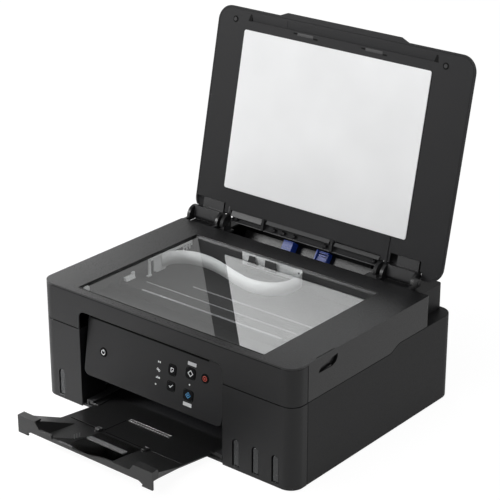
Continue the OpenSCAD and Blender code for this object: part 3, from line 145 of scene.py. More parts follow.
floor_mesh = bpy.data.meshes.new("floor")
bm = bmesh.new()
bmesh.ops.create_grid(bm, x_segments=1, y_segments=1, size=6.0)
bm.to_mesh(floor_mesh)
bm.free()
floor = bpy.data.objects.new("floor", floor_mesh)
scene.collection.objects.link(floor)

sweep = bpy.data.materials.new("white_sweep")
sweep.use_nodes = True
tree = sweep.node_tree
cloth = tree.nodes["Principled BSDF"]
cloth.inputs["Base Color"].default_value = (0.9, 0.9, 0.9, 1)
cloth.inputs["Roughness"].default_value = 0.95
cloth.inputs["Specular IOR Level"].default_value = 0.0
glow = tree.nodes.new("ShaderNodeEmission")
glow.inputs["Color"].default_value = (1, 1, 1, 1)
glow.inputs["Strength"].default_value = 1.1
seen = tree.nodes.new("ShaderNodeLightPath")
straight = tree.nodes.new("ShaderNodeMath")
straight.operation = "MULTIPLY"
straight.inputs[1].default_value = 0.85
in_gloss = tree.nodes.new("ShaderNodeMath")
in_gloss.operation = "MULTIPLY"
in_gloss.inputs[1].default_value = 0.3
share = tree.nodes.new("ShaderNodeMath")
share.operation = "MAXIMUM"
blend = tree.nodes.new("ShaderNodeMixShader")
tree.links.new(seen.outputs["Is Camera Ray"], straight.inputs[0])
tree.links.new(seen.outputs["Is Glossy Ray"], in_gloss.inputs[0])
tree.links.new(straight.outputs[0], share.inputs[0])
tree.links.new(in_gloss.outputs[0], share.inputs[1])
tree.links.new(share.outputs[0], blend.inputs["Fac"])
tree.links.new(cloth.outputs[0], blend.inputs[1])
tree.links.new(glow.outputs[0], blend.inputs[2])
tree.links.new(blend.outputs[0], tree.nodes["Material Output"].inputs["Surface"])
floor_mesh.materials.append(sweep)

# ---- Lower case ----
# The black-grey shell that carries everything: two sides, the rear wall and the deck behind the
# scanner. It is moulded in one piece, with a spark-eroded grain, and stands on a floor pan.


def moulding_grain():
    """Fine bead-like grain of a moulding tool, and a slow change of tone over the whole piece."""
    group = bpy.data.node_groups.get("moulding_grain")
    if group:
        return group
    group = bpy.data.node_groups.new("moulding_grain", "ShaderNodeTree")
    face = group.interface
    face.new_socket("Grain Size", in_out="INPUT", socket_type="NodeSocketFloat").default_value = 1300
    face.new_socket("Tone Size", in_out="INPUT", socket_type="NodeSocketFloat").default_value = 9
    face.new_socket("Height", in_out="OUTPUT", socket_type="NodeSocketFloat")
    face.new_socket("Tone", in_out="OUTPUT", socket_type="NodeSocketFloat")
    start = group.nodes.new("NodeGroupInput")
    end = group.nodes.new("NodeGroupOutput")
    place = group.nodes.new("ShaderNodeTexCoord")
    beads = group.nodes.new("ShaderNodeTexNoise")
    beads.inputs["Detail"].default_value = 3
    beads.inputs["Roughness"].default_value = 0.62
    pits = group.nodes.new("ShaderNodeTexVoronoi")
    pits.feature = "SMOOTH_F1"
    half = group.nodes.new("ShaderNodeMath")
    half.operation = "MULTIPLY"
    half.inputs[1].default_value = 0.55
    both = group.nodes.new("ShaderNodeMath")
    both.operation = "ADD"
    slow = group.nodes.new("ShaderNodeTexNoise")
    slow.inputs["Detail"].default_value = 2
    group.links.new(place.outputs["Object"], beads.inputs["Vector"])
    group.links.new(place.outputs["Object"], pits.inputs["Vector"])
    group.links.new(place.outputs["Object"], slow.inputs["Vector"])
    group.links.new(start.outputs["Grain Size"], beads.inputs["Scale"])
    group.links.new(start.outputs["Grain Size"], half.inputs[0])
    group.links.new(half.outputs[0], pits.inputs["Scale"])
    group.links.new(start.outputs["Tone Size"], slow.inputs["Scale"])
    group.links.new(beads.outputs["Fac"], both.inputs[0])
    group.links.new(pits.outputs["Distance"], both.inputs[1])
    group.links.new(both.outputs[0], end.inputs["Height"])
    group.links.new(slow.outputs["Fac"], end.inputs["Tone"])
    return group


tone_drift = 0.1


def moulded_plastic(name, colour, rough=0.5, grain=0.3, size=1300, gloss=0.5):
    """Plastic with a tooled grain, whose colour drifts slightly over the piece."""
    material = bpy.data.materials.new(name)
    material.use_nodes = True
    nodes, links = material.node_tree.nodes, material.node_tree.links
    skin = nodes["Principled BSDF"]
    skin.inputs["Specular IOR Level"].default_value = gloss
    texture = nodes.new("ShaderNodeGroup")
    texture.node_tree = moulding_grain()
    texture.inputs["Grain Size"].default_value = size
    mix = nodes.new("ShaderNodeMix")
    mix.data_type = "RGBA"
    mix.inputs["A"].default_value = (*[c * (1 - tone_drift) for c in colour], 1)
    mix.inputs["B"].default_value = (*[min(1, c * (1 + tone_drift)) for c in colour], 1)
    polish = nodes.new("ShaderNodeMapRange")
    polish.inputs["From Min"].default_value = 0.4
    polish.inputs["From Max"].default_value = 1.4
    polish.inputs["To Min"].default_value = max(0.02, rough - 0.07)
    polish.inputs["To Max"].default_value = min(1, rough + 0.07)
    bump = nodes.new("ShaderNodeBump")
    bump.inputs["Strength"].default_value = grain
    bump.inputs["Distance"].default_value = 0.00012
    links.new(texture.outputs["Tone"], mix.inputs["Factor"])
    links.new(mix.outputs["Result"], skin.inputs["Base Color"])
    links.new(texture.outputs["Height"], polish.inputs["Value"])
    links.new(polish.outputs["Result"], skin.inputs["Roughness"])
    links.new(texture.outputs["Height"], bump.inputs["Height"])
    links.new(bump.outputs["Normal"], skin.inputs["Normal"])
    return material


def piece_from(name, bm, body, material, smooth=30):
    """Makes the finished object of a bmesh, and lets it ride on its body."""
    mesh = bpy.data.meshes.new(name)
    bm.to_mesh(mesh)
    bm.free()
    mesh.polygons.foreach_set("use_smooth", [True] * len(mesh.polygons))
    mesh.set_sharp_from_angle(angle=math.radians(smooth))
    mesh.materials.append(material)
    piece = bpy.data.objects.new(name, mesh)
    scene.collection.objects.link(piece)
    if body:
        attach(piece, body)
    return piece


moulded_edge = 32


def eased(node, material, radius=0.0005, steps=2):
    """The node's own shape, its edges sharper than moulded_edge degrees eased to catch the light."""
    source = frame["nodes"][node]
    bm = bmesh.new()
    bm.from_mesh(source.data)
    bmesh.ops.remove_doubles(bm, verts=bm.verts, dist=2e-6)
    bmesh.ops.dissolve_limit(bm, angle_limit=math.radians(0.6), verts=bm.verts, edges=bm.edges,
                             use_dissolve_boundaries=False)
    for layer in list(bm.loops.layers.float_vector.values()):
        bm.loops.layers.float_vector.remove(layer)
    piece = piece_from(node + "_moulding", bm, source["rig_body"], material,
                       moulded_edge)
    ease = piece.modifiers.new("eased_edges", "BEVEL")
    ease.width = radius
    ease.segments = steps
    ease.limit_method = "ANGLE"
    ease.angle_limit = math.radians(moulded_edge)
    ease.miter_outer = "MITER_ARC"
    fair = piece.modifiers.new("fair_shading", "WEIGHTED_NORMAL")
    fair.keep_sharp = False
    fair.weight = 80
    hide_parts(node)
    return piece


def finished(node, material):
    """A node whose shape is right as it is: only its finish is changed."""
    piece = frame["nodes"][node]
    if not piece.material_slots:
        piece.data.materials.append(material)
    for place in piece.material_slots:
        place.material = material
    return piece


# Places in the case are in millimetres from the middle of its front face, at floor level.
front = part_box("front_bezel")[0].y * 1000
case_frame = Matrix.Scale(0.001, 4) @ Matrix.Translation((0, front, 0))


def block(bm, x, y, z):
    """Adds a straight block between two limits on each axis, in millimetres."""
    size = (abs(x[1] - x[0]), abs(y[1] - y[0]), abs(z[1] - z[0]), 1)
    middle = Matrix.Translation(((x[0] + x[1]) / 2, (y[0] + y[1]) / 2, (z[0] + z[1]) / 2))
    return bmesh.ops.create_cube(bm, size=1, matrix=middle @ Matrix.Diagonal(size))["verts"]


def post(bm, low, high, radius, sides=32):
    """Adds a round post between two points."""
    low, high = Vector(low), Vector(high)
    place = Matrix.Translation((low + high) / 2) @ (high - low).to_track_quat("Z", "Y").to_matrix().to_4x4()
    return bmesh.ops.create_cone(bm, cap_ends=True, segments=sides, radius1=radius, radius2=radius,
                                 depth=(high - low).length, matrix=place)["verts"]


def rounded(bm, x, z, y, radius):
    """Adds a plate with rounded corners, standing in the plane of x and z."""
    verts = block(bm, x, y, z)
    upright = [e for e in bm.edges if e.verts[0] in verts and e.verts[1] in verts
               and abs(e.verts[0].co.y - e.verts[1].co.y) > 1e-6]
    bmesh.ops.bevel(bm, geom=upright, offset=radius, segments=6, profile=0.5, affect="EDGES", material=-1)


def soften(piece, width, steps=2):
    """Eases the edges of a fitted piece by a width in millimetres."""
    ease = piece.modifiers.new("eased_edges", "BEVEL")
    ease.width = width / 1000
    ease.segments = steps
    ease.limit_method = "ANGLE"
    ease.angle_limit = math.radians(30)
    fair = piece.modifiers.new("fair_shading", "WEIGHTED_NORMAL")
    fair.keep_sharp = False
    return piece


def fitted(name, bm, place, body, material, ease=0.2, steps=2):
    """Finishes a bmesh that was made in millimetres in its own frame, and fits it to its body."""
    bmesh.ops.recalc_face_normals(bm, faces=bm.faces)
    bm.transform(place)
    return soften(piece_from(name, bm, body, material), ease, steps)


case_black = moulded_plastic("case_black", (0.0085, 0.0085, 0.009), rough=0.5, gloss=0.25)
pan_black = moulded_plastic("pan_black", (0.012, 0.012, 0.013), rough=0.6)
eased("main_case", case_black, 0.0009)
eased("base_pan", pan_black, 0.0005)
eased("rubber_feet", moulded_plastic("foot_rubber", (0.01, 0.01, 0.011), rough=0.85, size=700), 0.0004)

# ---- Front panels ----
# Two covers left and right of the paper opening. Upright slots with round tops show the ink
# level of the tank behind each one.

panel_black = moulded_plastic("front_panel_black", (0.0045, 0.0045, 0.005), rough=0.42, gloss=0.36)
eased("front_panel_left", panel_black, 0.0009)
eased("front_panel_right", panel_black, 0.0009)

tank_clear = moulded_plastic("tank_clear", (0.10, 0.105, 0.11), rough=0.25, gloss=0.5)
for node in ("ink_tank_black", "ink_tank_cyan", "ink_tank_magenta", "ink_tank_yellow"):
    eased(node, tank_clear, 0.0005)
for colour, shade in (("black", (0.012, 0.012, 0.013)), ("cyan", (0.02, 0.2, 0.42)),
                      ("magenta", (0.38, 0.02, 0.13)), ("yellow", (0.62, 0.42, 0.02))):
    eased("tank_cap_" + colour, moulded_plastic("cap_" + colour, shade, rough=0.4), 0.0003)

# A bulged lens of clear plastic stands in each slot, in front of its tank. It has a round top.
lens_clear = moulded_plastic("lens_clear", (0.024, 0.025, 0.026), rough=0.24, grain=0.05, gloss=0.45)
for colour in ("black", "cyan", "magenta", "yellow"):
    low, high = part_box("ink_tank_" + colour)
    middle = (low.x + high.x) * 500
    bm = bmesh.new()
    block(bm, (middle - 3.6, middle + 4.9), (0.5, 3.2), (8.2, 43.4))
    crown = [e for e in bm.edges if min(v.co.z for v in e.verts) > 43 and e.calc_length() < 3]
    bmesh.ops.bevel(bm, geom=crown, offset=4.2, segments=8, profile=0.5, affect="EDGES", material=-1)
    fitted("ink_lens_" + colour, bm, case_frame, "base", lens_clear, 1.1, 5)
    bm = bmesh.new()
    block(bm, (middle - 4.7, middle + 4.7), (0.25, 2.2), (6.85, 7.8))
    fitted("lens_foot_" + colour, bm, case_frame, "base", panel_black, 0.3)

# ---- Operation panel ----
# The tilted panel in the opening, with its six keys and its lights. Their marks are skins of ink,
# and dark prints round the keys are painted shade for the gaps in which they move.

panel_face = moulded_plastic("panel_face", (0.0055, 0.0055, 0.006), rough=0.4, gloss=0.26)
eased("operation_panel", panel_face, 0.0008)
key_rubber = moulded_plastic("key_rubber", (0.0025, 0.0025, 0.003), rough=0.55, gloss=0.08)
for node in ("power_button", "copies_button", "ok_button", "black_start_button", "stop_button",
             "colour_start_button"):
    eased(node, key_rubber, 0.0004)
finished("indicator_lights", moulded_plastic("smoked_guide", (0.02, 0.02, 0.022), rough=0.3))

# Printed marks: white ink on the keys and beside the lights, red on stop, blue on the colour key.
panel_x, panel_z, panel_tilt = -19.5, 52, 9
panel_frame = case_frame @ Matrix.Translation((panel_x, 0, panel_z)) @ \
    Matrix.Rotation(math.radians(-panel_tilt), 4, "X")
print_white = moulded_plastic("print_white", (0.7, 0.71, 0.72), rough=0.5, grain=0.05)
print_red = moulded_plastic("print_red", (0.55, 0.07, 0.04), rough=0.5, grain=0.05)
print_blue = moulded_plastic("print_blue", (0.03, 0.2, 0.42), rough=0.5, grain=0.05)
# A very dark black: painted shade in gaps, seams, folds and recesses, and the real black inside the data
# socket.
black_and_painted_shade = moulded_plastic("black_and_painted_shade", (0.002, 0.002, 0.002), rough=0.7, gloss=0.05)
label_grey = moulded_plastic("label_grey", (0.4, 0.405, 0.41), rough=0.5, grain=0.05)


def ring(bm, x, z, outer, inner, y, sides=40, turn=0, corner=0):
    """Adds a flat ring that faces forward; four sides make a diamond, with rounded corners if asked."""
    place = Matrix.Translation((x, y, z)) @ Matrix.Rotation(math.radians(90), 4, "X") @ \
        Matrix.Rotation(math.radians(turn), 4, "Z")
    rim = bmesh.ops.create_circle(bm, cap_ends=True, segments=sides, radius=outer, matrix=place)["verts"]
    if corner:
        bmesh.ops.bevel(bm, geom=rim, offset=corner, segments=5, profile=0.5, affect="VERTICES", material=-1)
    bm.faces.ensure_lookup_table()
    face = bm.faces[-1]
    bmesh.ops.inset_region(bm, faces=[face], thickness=(outer - inner) * math.cos(math.pi / sides),
                           use_boundary=True, use_even_offset=True)
    bmesh.ops.delete(bm, geom=[face], context="FACES")


def patch(bm, x, z, y):
    """Adds a flat print between two limits across and two limits up."""
    place = Matrix.Translation(((x[0] + x[1]) / 2, y, (z[0] + z[1]) / 2)) @ \
        Matrix.Rotation(math.radians(90), 4, "X") @ Matrix.Diagonal((x[1] - x[0], z[1] - z[0], 1, 1))
    return bmesh.ops.create_grid(bm, x_segments=1, y_segments=1, size=0.5, matrix=place)["verts"]


def printed(name, bm, body, material):
    """A print is a skin of ink, 0.05 mm thick, on the face that it marks."""
    bm.transform(panel_frame)
    bmesh.ops.recalc_face_normals(bm, faces=bm.faces)
    piece = piece_from(name, bm, body, material)
    skin = piece.modifiers.new("ink", "SOLIDIFY")
    skin.thickness = 0.00005
    skin.offset = 0
    return piece


# The middle of each key, across and up the panel, and how far out the printed faces lie.
power_key, stop_key, copies_key = (-85, 37.5), (83.8, 53.8), (31.2, 49)
ok_key, black_start_key, colour_start_key = (31.2, 27.6), (60.6, 53.5), (60, 24.8)
key_face, panel_print, gap_shade_print = -0.74, -0.04, -0.05

bm = bmesh.new()
ring(bm, *power_key, 3.3, 2.7, key_face)
patch(bm, (-85.3, -84.7), (38.3, 41.4), key_face)
printed("power_mark", bm, "power_button", print_white)

# A dark print round each key is painted shade of the gap it moves in. Two keys are round; the others have a
# width, a height and a corner.
bm = bmesh.new()
for (x, z), across in ((power_key, 9.6), (stop_key, 9.4)):
    ring(bm, x, z, across / 2 + 1.5, across / 2 + 0.1, gap_shade_print)
for (x, z), wide, high, corner in ((copies_key, 11.6, 12.6, 3), (ok_key, 11.6, 11, 2.4),
                                   (black_start_key, 14.6, 13.2, 4), (colour_start_key, 15, 12.6, 3.4)):
    earlier = len(bm.verts)
    outer, inner = (wide / 2 + 1.1) * math.sqrt(2), (wide / 2 + 0.15) * math.sqrt(2)
    ring(bm, 0, 0, outer, inner, gap_shade_print, 4, 45, corner + 1)
    bm.verts.ensure_lookup_table()
    bmesh.ops.transform(bm, verts=bm.verts[earlier:], matrix=Matrix.Translation((x, 0, z)) @
                        Matrix.Diagonal((1, 1, high / wide, 1)))
printed("key_gap_shades", bm, "base", black_and_painted_shade)
bm = bmesh.new()
ring(bm, *black_start_key, 4.4, 3.3, key_face, 4, 90)
printed("black_start_mark", bm, "black_start_button", print_white)
bm = bmesh.new()
ring(bm, *colour_start_key, 4.2, 3.2, key_face, 4, 90)
ring(bm, *colour_start_key, 1.2, 0.3, key_face)
printed("colour_start_mark", bm, "colour_start_button", print_blue)
bm = bmesh.new()
ring(bm, *stop_key, 3.3, 2.6, key_face)
ring(bm, *stop_key, 1.5, 0.1, key_face, 3, 90)
printed("stop_mark", bm, "stop_button", print_red)

# The copies key shows a sheet with a turned corner; the confirm key shows a plain tick.
bm = bmesh.new()
for left, right, low, high in ((-2.3, 2.3, 2.1, 2.9), (-2.3, 0.4, -2.9, -2.1), (-2.3, -1.6, -2.1, 2.1),
                               (1.6, 2.3, -0.6, 2.1), (0.4, 2.3, -1.3, -0.6), (-0.3, 0.4, -2.1, -0.6)):
    x, z = copies_key
    patch(bm, (x + left, x + right), (z + low, z + high), key_face)
printed("copies_mark", bm, "copies_button", print_white)
bm = bmesh.new()
for x, z, long, turn in ((29.7, 26.9, 3.0, -45), (32.4, 28.2, 5.6, 45)):
    arm = patch(bm, (-long / 2, long / 2), (-0.45, 0.45), 0)
    bmesh.ops.transform(bm, verts=arm, matrix=Matrix.Translation((x, key_face, z)) @
                        Matrix.Rotation(math.radians(-turn), 4, "Y"))
printed("ok_mark", bm, "ok_button", print_white)

# A dark strip along the panel's top, under the bezel's arch, is painted shadow of the arch over the gap
# there.
bm = bmesh.new()
block(bm, (-112, 87), (-0.9, -0.1), (76.9, 86.4))
fitted("arch_shadow_strip", bm, panel_frame, "base", black_and_painted_shade, 0.3)

# Marks beside the lights, and the two bare label fields of the start keys.
bm = bmesh.new()
for x, high in ((6.9, 54.0), (9.6, 54.0)):
    patch(bm, (x, x + 1.7), (51.9, high), panel_print)
ring(bm, 7.3, 43.3, 1.5, 0.8, panel_print)
ring(bm, 9.9, 41.8, 1.5, 0.8, panel_print)
for i, high in enumerate((32.2, 33.2, 34.2)):
    patch(bm, (5.4 + i * 1.3, 6.2 + i * 1.3), (31.4, high), panel_print)
patch(bm, (9.6, 12.0), (31.4, 33.4), panel_print)
ring(bm, 6, 22.9, 1.15, 0.01, panel_print)
ring(bm, 60.3, 38.6, 1.05, 0.01, panel_print)
printed("light_marks", bm, "base", print_white)
for name, x, z in (("black_start_field", 61.4, 65.8), ("colour_start_field", 59.7, 12.5)):
    bm = bmesh.new()
    rounded(bm, (x - 6.9, x + 6.9), (z - 2.3, z + 2.3), (-0.08, 0), 0.4)
    fitted(name, bm, panel_frame, "base", label_grey, 0.02)

# ---- Scanner unit ----
# Front bezel, top frame with the side walls, glass bed, glass, scan bar and its cable. The whole
# unit lifts, with the cover on it.

frame_grey = moulded_plastic("frame_grey", (0.008, 0.008, 0.0085), rough=0.3, gloss=0.45)
eased("front_bezel", panel_black, 0.0008)
eased("scanner_top_frame", frame_grey, 0.0013, 3)
bed_grey = moulded_plastic("bed_grey", (0.012, 0.012, 0.0125), rough=0.6)
eased("scanner_base", bed_grey, 0.0005)
bar_black = moulded_plastic("scan_bar_black", (0.015, 0.015, 0.016), rough=0.5)
eased("scan_bar", bar_black, 0.0004)
finished("hinge_pins", moulded_plastic("pin_black", (0.02, 0.02, 0.021), rough=0.4))

# Black strips just inside the front seams are painted shade in the gaps: one below the bezel at each side,
# one under the frame's top, and a thin one across the frame's top in front of the glass.
bm = bmesh.new()
for x0, x1 in ((-188, -142), (99, 188)):
    block(bm, (x0, x1), (0.03, 1.0), (111.9, 112.9))
fitted("front_seam_shades", bm, case_frame, "base", black_and_painted_shade, 0.05)
bm = bmesh.new()
block(bm, (-188, 188), (0.03, 1.0), (160.4, 161.9))
block(bm, (-152, 152), (11.4, 12.5), (163.8, 164.05))
fitted("frame_seam_shades", bm, case_frame, "scanner_unit", black_and_painted_shade, 0.02)

# Finger pocket in the right side: a dark plate closes it inside, with a slope as its floor.
bm = bmesh.new()
block(bm, (202.6, 204.4), (44, 86), (141, 160))
ramp = block(bm, (203.4, 207.2), (48.5, 72), (142.2, 144.6))
bmesh.ops.rotate(bm, verts=ramp, cent=(203.4, 60, 142.2), matrix=Matrix.Rotation(math.radians(8), 3, "X"))
fitted("side_pocket", bm, case_frame, "scanner_unit", frame_grey, 0.3)

# Pale grey strips on the guide rail are painted highlights on its two edges, and a pale strip on a lower rib
# across the bed behind it is one too.
rail_highlight_grey = moulded_plastic("rail_highlight_grey", (0.3, 0.3, 0.31), rough=0.3, gloss=0.6)
bm = bmesh.new()
block(bm, (-128, 121), (113.2, 115), (141, 142.1))
block(bm, (-116, 116), (91, 94), (141, 142.0))
block(bm, (-89, 120), (161.4, 162.8), (127, 129.6))
fitted("rail_highlights", bm, case_frame, "scanner_unit", rail_highlight_grey, 0.3)

# Ribbon cable: a band on its edge. Its wave runs from the scan bar to the bed's rear wall; the run
# along the rear wall is held by two clips and stays.
ribbon_x, ribbon_y, ribbon_z, ribbon_w = -152.5, 246.4, 158.9, 19.2
cable_white = moulded_plastic("cable_white", (0.88, 0.89, 0.9), rough=0.45, grain=0.08)
tree = cable_white.node_tree
along = tree.nodes.new("ShaderNodeTexCoord")
tracks = tree.nodes.new("ShaderNodeTexWave")
tracks.bands_direction = "Z"
tracks.inputs["Scale"].default_value = 260
tracks.inputs["Distortion"].default_value = 0
shade = tree.nodes.new("ShaderNodeMapRange")
shade.inputs["To Min"].default_value = 0.93
film = tree.nodes.new("ShaderNodeMix")
film.data_type, film.blend_type = "RGBA", "MULTIPLY"
film.inputs["Factor"].default_value = 1.0
skin = tree.nodes["Principled BSDF"]
tree.links.new(along.outputs["Object"], tracks.inputs["Vector"])
tree.links.new(tracks.outputs["Fac"], shade.inputs["Value"])
tree.links.new(skin.inputs["Base Color"].links[0].from_socket, film.inputs["A"])
tree.links.new(shade.outputs["Result"], film.inputs["B"])
tree.links.new(film.outputs["Result"], skin.inputs["Base Color"])


def ribbon(name, points, middle_z, width):
    """A flat cable on its edge that runs smoothly through its points."""
    line = bpy.data.curves.new(name, "CURVE")
    line.dimensions = "2D"
    line.extrude = width / 2000
    line.resolution_u = 12
    run = line.splines.new("BEZIER")
    run.bezier_points.add(len(points) - 1)
    for knot, (x, y) in zip(run.bezier_points, points):
        knot.co = ((ribbon_x + x) / 1000, (front + ribbon_y + y) / 1000, middle_z / 1000)
        knot.handle_left_type = knot.handle_right_type = "AUTO"
    holder = bpy.data.objects.new(name + "_line", line)
    mesh = bpy.data.meshes.new_from_object(holder)
    bpy.data.objects.remove(holder)
    bm = bmesh.new()
    bm.from_mesh(mesh)
    return bm


wave = [(3, -79), (6, -68), (11, -60), (20, -52), (34, -46.5), (52, -45), (72, -47.5), (98, -55),
        (124, -63.5), (147, -68), (164, -66), (179, -58.5), (188, -46), (191, -31)]
run = [(191, -31), (190, -17), (184, -6), (177, -3.4), (81, -3.4)]
for name, points in (("ribbon_wave", wave), ("ribbon_wall_run", run)):
    bm = ribbon(name, points, ribbon_z - ribbon_w / 2, ribbon_w)
    body = "scanner_unit" if name == "ribbon_wall_run" else None
    piece = piece_from(name, bm, body, cable_white, 60)
    film = piece.modifiers.new("film", "SOLIDIFY")
    film.thickness = 0.0005
    film.offset = 0
    if not body:
        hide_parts("ribbon_cable")
        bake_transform(piece)

# White cable bracket along the bar's side, with its slots, its foot and its thin arm.
bracket_wall = (-152.4, -150.6)
bm = bmesh.new()
block(bm, bracket_wall, (144, 194), (153.6, 157.4))
block(bm, bracket_wall, (143, 147.6), (134.4, 157.4))
block(bm, (-152.4, -148.6), (139.5, 147), (133.4, 135.4))
block(bm, bracket_wall, (153.6, 182.4), (136.6, 155))
block(bm, bracket_wall, (158, 177), (134, 138))
block(bm, bracket_wall, (187, 193.6), (137.6, 155))
block(bm, bracket_wall, (192, 231), (154, 157))
for y in (213, 219.4, 225.4):
    block(bm, bracket_wall, (y, y + 1.8), (147, 155))
block(bm, bracket_wall, (213, 227), (150.6, 152.2))
block(bm, bracket_wall, (229.2, 231.4), (150.6, 157))
fitted("cable_bracket", bm, case_frame, "scan_bar", cable_white, 0.25)
bm = bmesh.new()
holder = block(bm, (-152.4, -146.2), (96, 113), (142.5, 147.4))
for vert in holder:
    if vert.co.z > 145 and vert.co.x > -148:
        vert.co.x = -149
block(bm, (-152.4, -149.4), (110, 115), (142.5, 150.4))
block(bm, (-152.4, -148.4), (21.5, 29), (153, 159))
fitted("cable_foot", bm, case_frame, "scan_bar", cable_white, 0.4)

# Two tapered clips hold the cable on the rear wall, over a dark ledge with the cable's hole.
clip_black = moulded_plastic("clip_black", (0.03, 0.03, 0.031), rough=0.5)
bm = bmesh.new()
for x0, x1, top, tip in ((-61, -44.5, 157, 3.4), (-31.5, -11, 157.5, 1.2)):
    tongue = block(bm, (x0, x1), (239.6, 241.6), (143, top))
    for vert in tongue:
        if vert.co.z > 150:
            vert.co.x += tip if vert.co.x < (x0 + x1) / 2 else -tip
fitted("cable_clips", bm, case_frame, "scanner_unit", clip_black, 0.9, 4)
bm = bmesh.new()
block(bm, (-78, 30), (240.6, 243.6), (134.5, 138.4))
fitted("cable_ledge", bm, case_frame, "scanner_unit", bar_black, 0.3)
bm = bmesh.new()
post(bm, (25, 242.6, 152.8), (25, 242.2, 152.8), 1.5, sides=24)
fitted("cable_hole", bm, case_frame, "scanner_unit", bar_black, 0.05)

# Thin pale grey strips along the glass's front and rear edges are painted highlights on the edges of the
# opening.
trim_highlight_grey = moulded_plastic("trim_highlight_grey", (0.10, 0.10, 0.105), rough=0.4)
bm = bmesh.new()
block(bm, (-151.5, 151.5), (14.4, 15.1), (161.2, 161.9))
block(bm, (-151.5, 151.5), (16.6, 17.1), (161.2, 161.7))
block(bm, (-151.5, 151.5), (240.4, 241.0), (161.2, 162.6))
fitted("glass_edge_highlights", bm, case_frame, "scanner_unit", trim_highlight_grey, 0.15)

# The glass mirrors more than a bare pane would, and lets the studio's light through to the bed.
glass = bpy.data.materials.new("clear_glass")
glass.use_nodes = True
tree = glass.node_tree
pane = tree.nodes["Principled BSDF"]
pane.inputs["Base Color"].default_value = (0.98, 1.0, 0.99, 1)
pane.inputs["Roughness"].default_value = 0.0
pane.inputs["Transmission Weight"].default_value = 1.0
pane.inputs["IOR"].default_value = 3.3
clear = tree.nodes.new("ShaderNodeBsdfTransparent")
seen = tree.nodes.new("ShaderNodeLightPath")
lets_through = tree.nodes.new("ShaderNodeMath")
lets_through.operation = "MAXIMUM"
blend = tree.nodes.new("ShaderNodeMixShader")
tree.links.new(seen.outputs["Is Shadow Ray"], lets_through.inputs[0])
tree.links.new(seen.outputs["Is Diffuse Ray"], lets_through.inputs[1])
tree.links.new(lets_through.outputs[0], blend.inputs["Fac"])
tree.links.new(pane.outputs[0], blend.inputs[1])
tree.links.new(clear.outputs[0], blend.inputs[2])
tree.links.new(blend.outputs[0], tree.nodes["Material Output"].inputs["Surface"])
finished("scanner_glass", glass)

# ---- Document cover ----
# The cover stands open, so that its inner panel and its white pad face the front. The handle
# recess and the bumpers are along its free edge, the trough along its hinges.

cover_black = moulded_plastic("cover_black", (0.017, 0.017, 0.018), rough=0.5, gloss=0.2)
eased("cover_shell", cover_black, 0.0005)
eased("cover_inner_panel", cover_black, 0.0006)
eased("cover_pad", moulded_plastic("pad_white", (0.88, 0.885, 0.89), rough=0.7, grain=0.1), 0.0005)
hinge_black = moulded_plastic("hinge_black", (0.015, 0.015, 0.016), rough=0.35)
eased("cover_hinges", hinge_black, 0.0004)

# Along the cover: across it, up from the hinge axis, and out of its inner face.
hinge_y, hinge_z, cover_open, inner_face = 298, 164, 102, 1.6
cover_frame = case_frame @ Matrix.Translation((0, hinge_y, hinge_z)) @ \
    Matrix.Rotation(math.radians(-cover_open), 4, "X") @ \
    Matrix(((1, 0, 0, 0), (0, -1, 0, 0), (0, 0, -1, inner_face), (0, 0, 0, 1)))

# Two rubber bumpers sit at the free corners. A dark disc under each shows as a ring round it: painted shade
# of the groove it sits in.
bumper_rubber = moulded_plastic("bumper_rubber", (0.02, 0.02, 0.021), rough=0.6, size=700)
gap_shade_black = moulded_plastic("gap_shade_black", (0.004, 0.004, 0.004), rough=0.6, gloss=0.1)
for side, x, v in (("left", -178, 280.7), ("right", 164.1, 279.4)):
    bm = bmesh.new()
    post(bm, (x, v, -0.5), (x, v, 0.1), 4.6)
    fitted("bumper_shade_ring_" + side, bm, cover_frame, "cover", gap_shade_black, 0.05)
    bm = bmesh.new()
    post(bm, (x, v, 0), (x, v, 0.85), 2.7)
    fitted("bumper_" + side, bm, cover_frame, "cover", bumper_rubber, 0.4, 4)

# Snap tongues of the inner panel: a bar between two short slots, twice along the handle recess.
bm = bmesh.new()
for x0, x1 in ((-71, -44.6), (40.4, 67.6)):
    block(bm, (x0, x1), (276.4, 280.4), (-0.4, 0.35))
fitted("snap_tongues", bm, cover_frame, "cover",
       moulded_plastic("tongue_grey", (0.022, 0.022, 0.023), rough=0.45), 0.3)
# The short slots beside the tongues and the wedge pockets at the recess ends are thin dark patches: painted
# shade of slots and pockets.
bm = bmesh.new()
for x0, x1, v in ((-77.7, -71.2, 278.6), (-44.3, -37.2, 276.2), (33.8, 40.1, 278.6), (67.8, 74.6, 276.2)):
    block(bm, (x0, x1), (v - 1.1, v + 1.1), (-0.4, 0.04))
for x in (-152.4, 149.2):
    wedge = block(bm, (x - 3.6, x + 3.4), (281.6, 291), (-1, 0.05))
    for vert in wedge:
        if vert.co.y > 285:
            vert.co.x = x - 0.6 if vert.co.x < x else x + 1.6
fitted("panel_slot_shades", bm, cover_frame, "cover", gap_shade_black, 0.02)

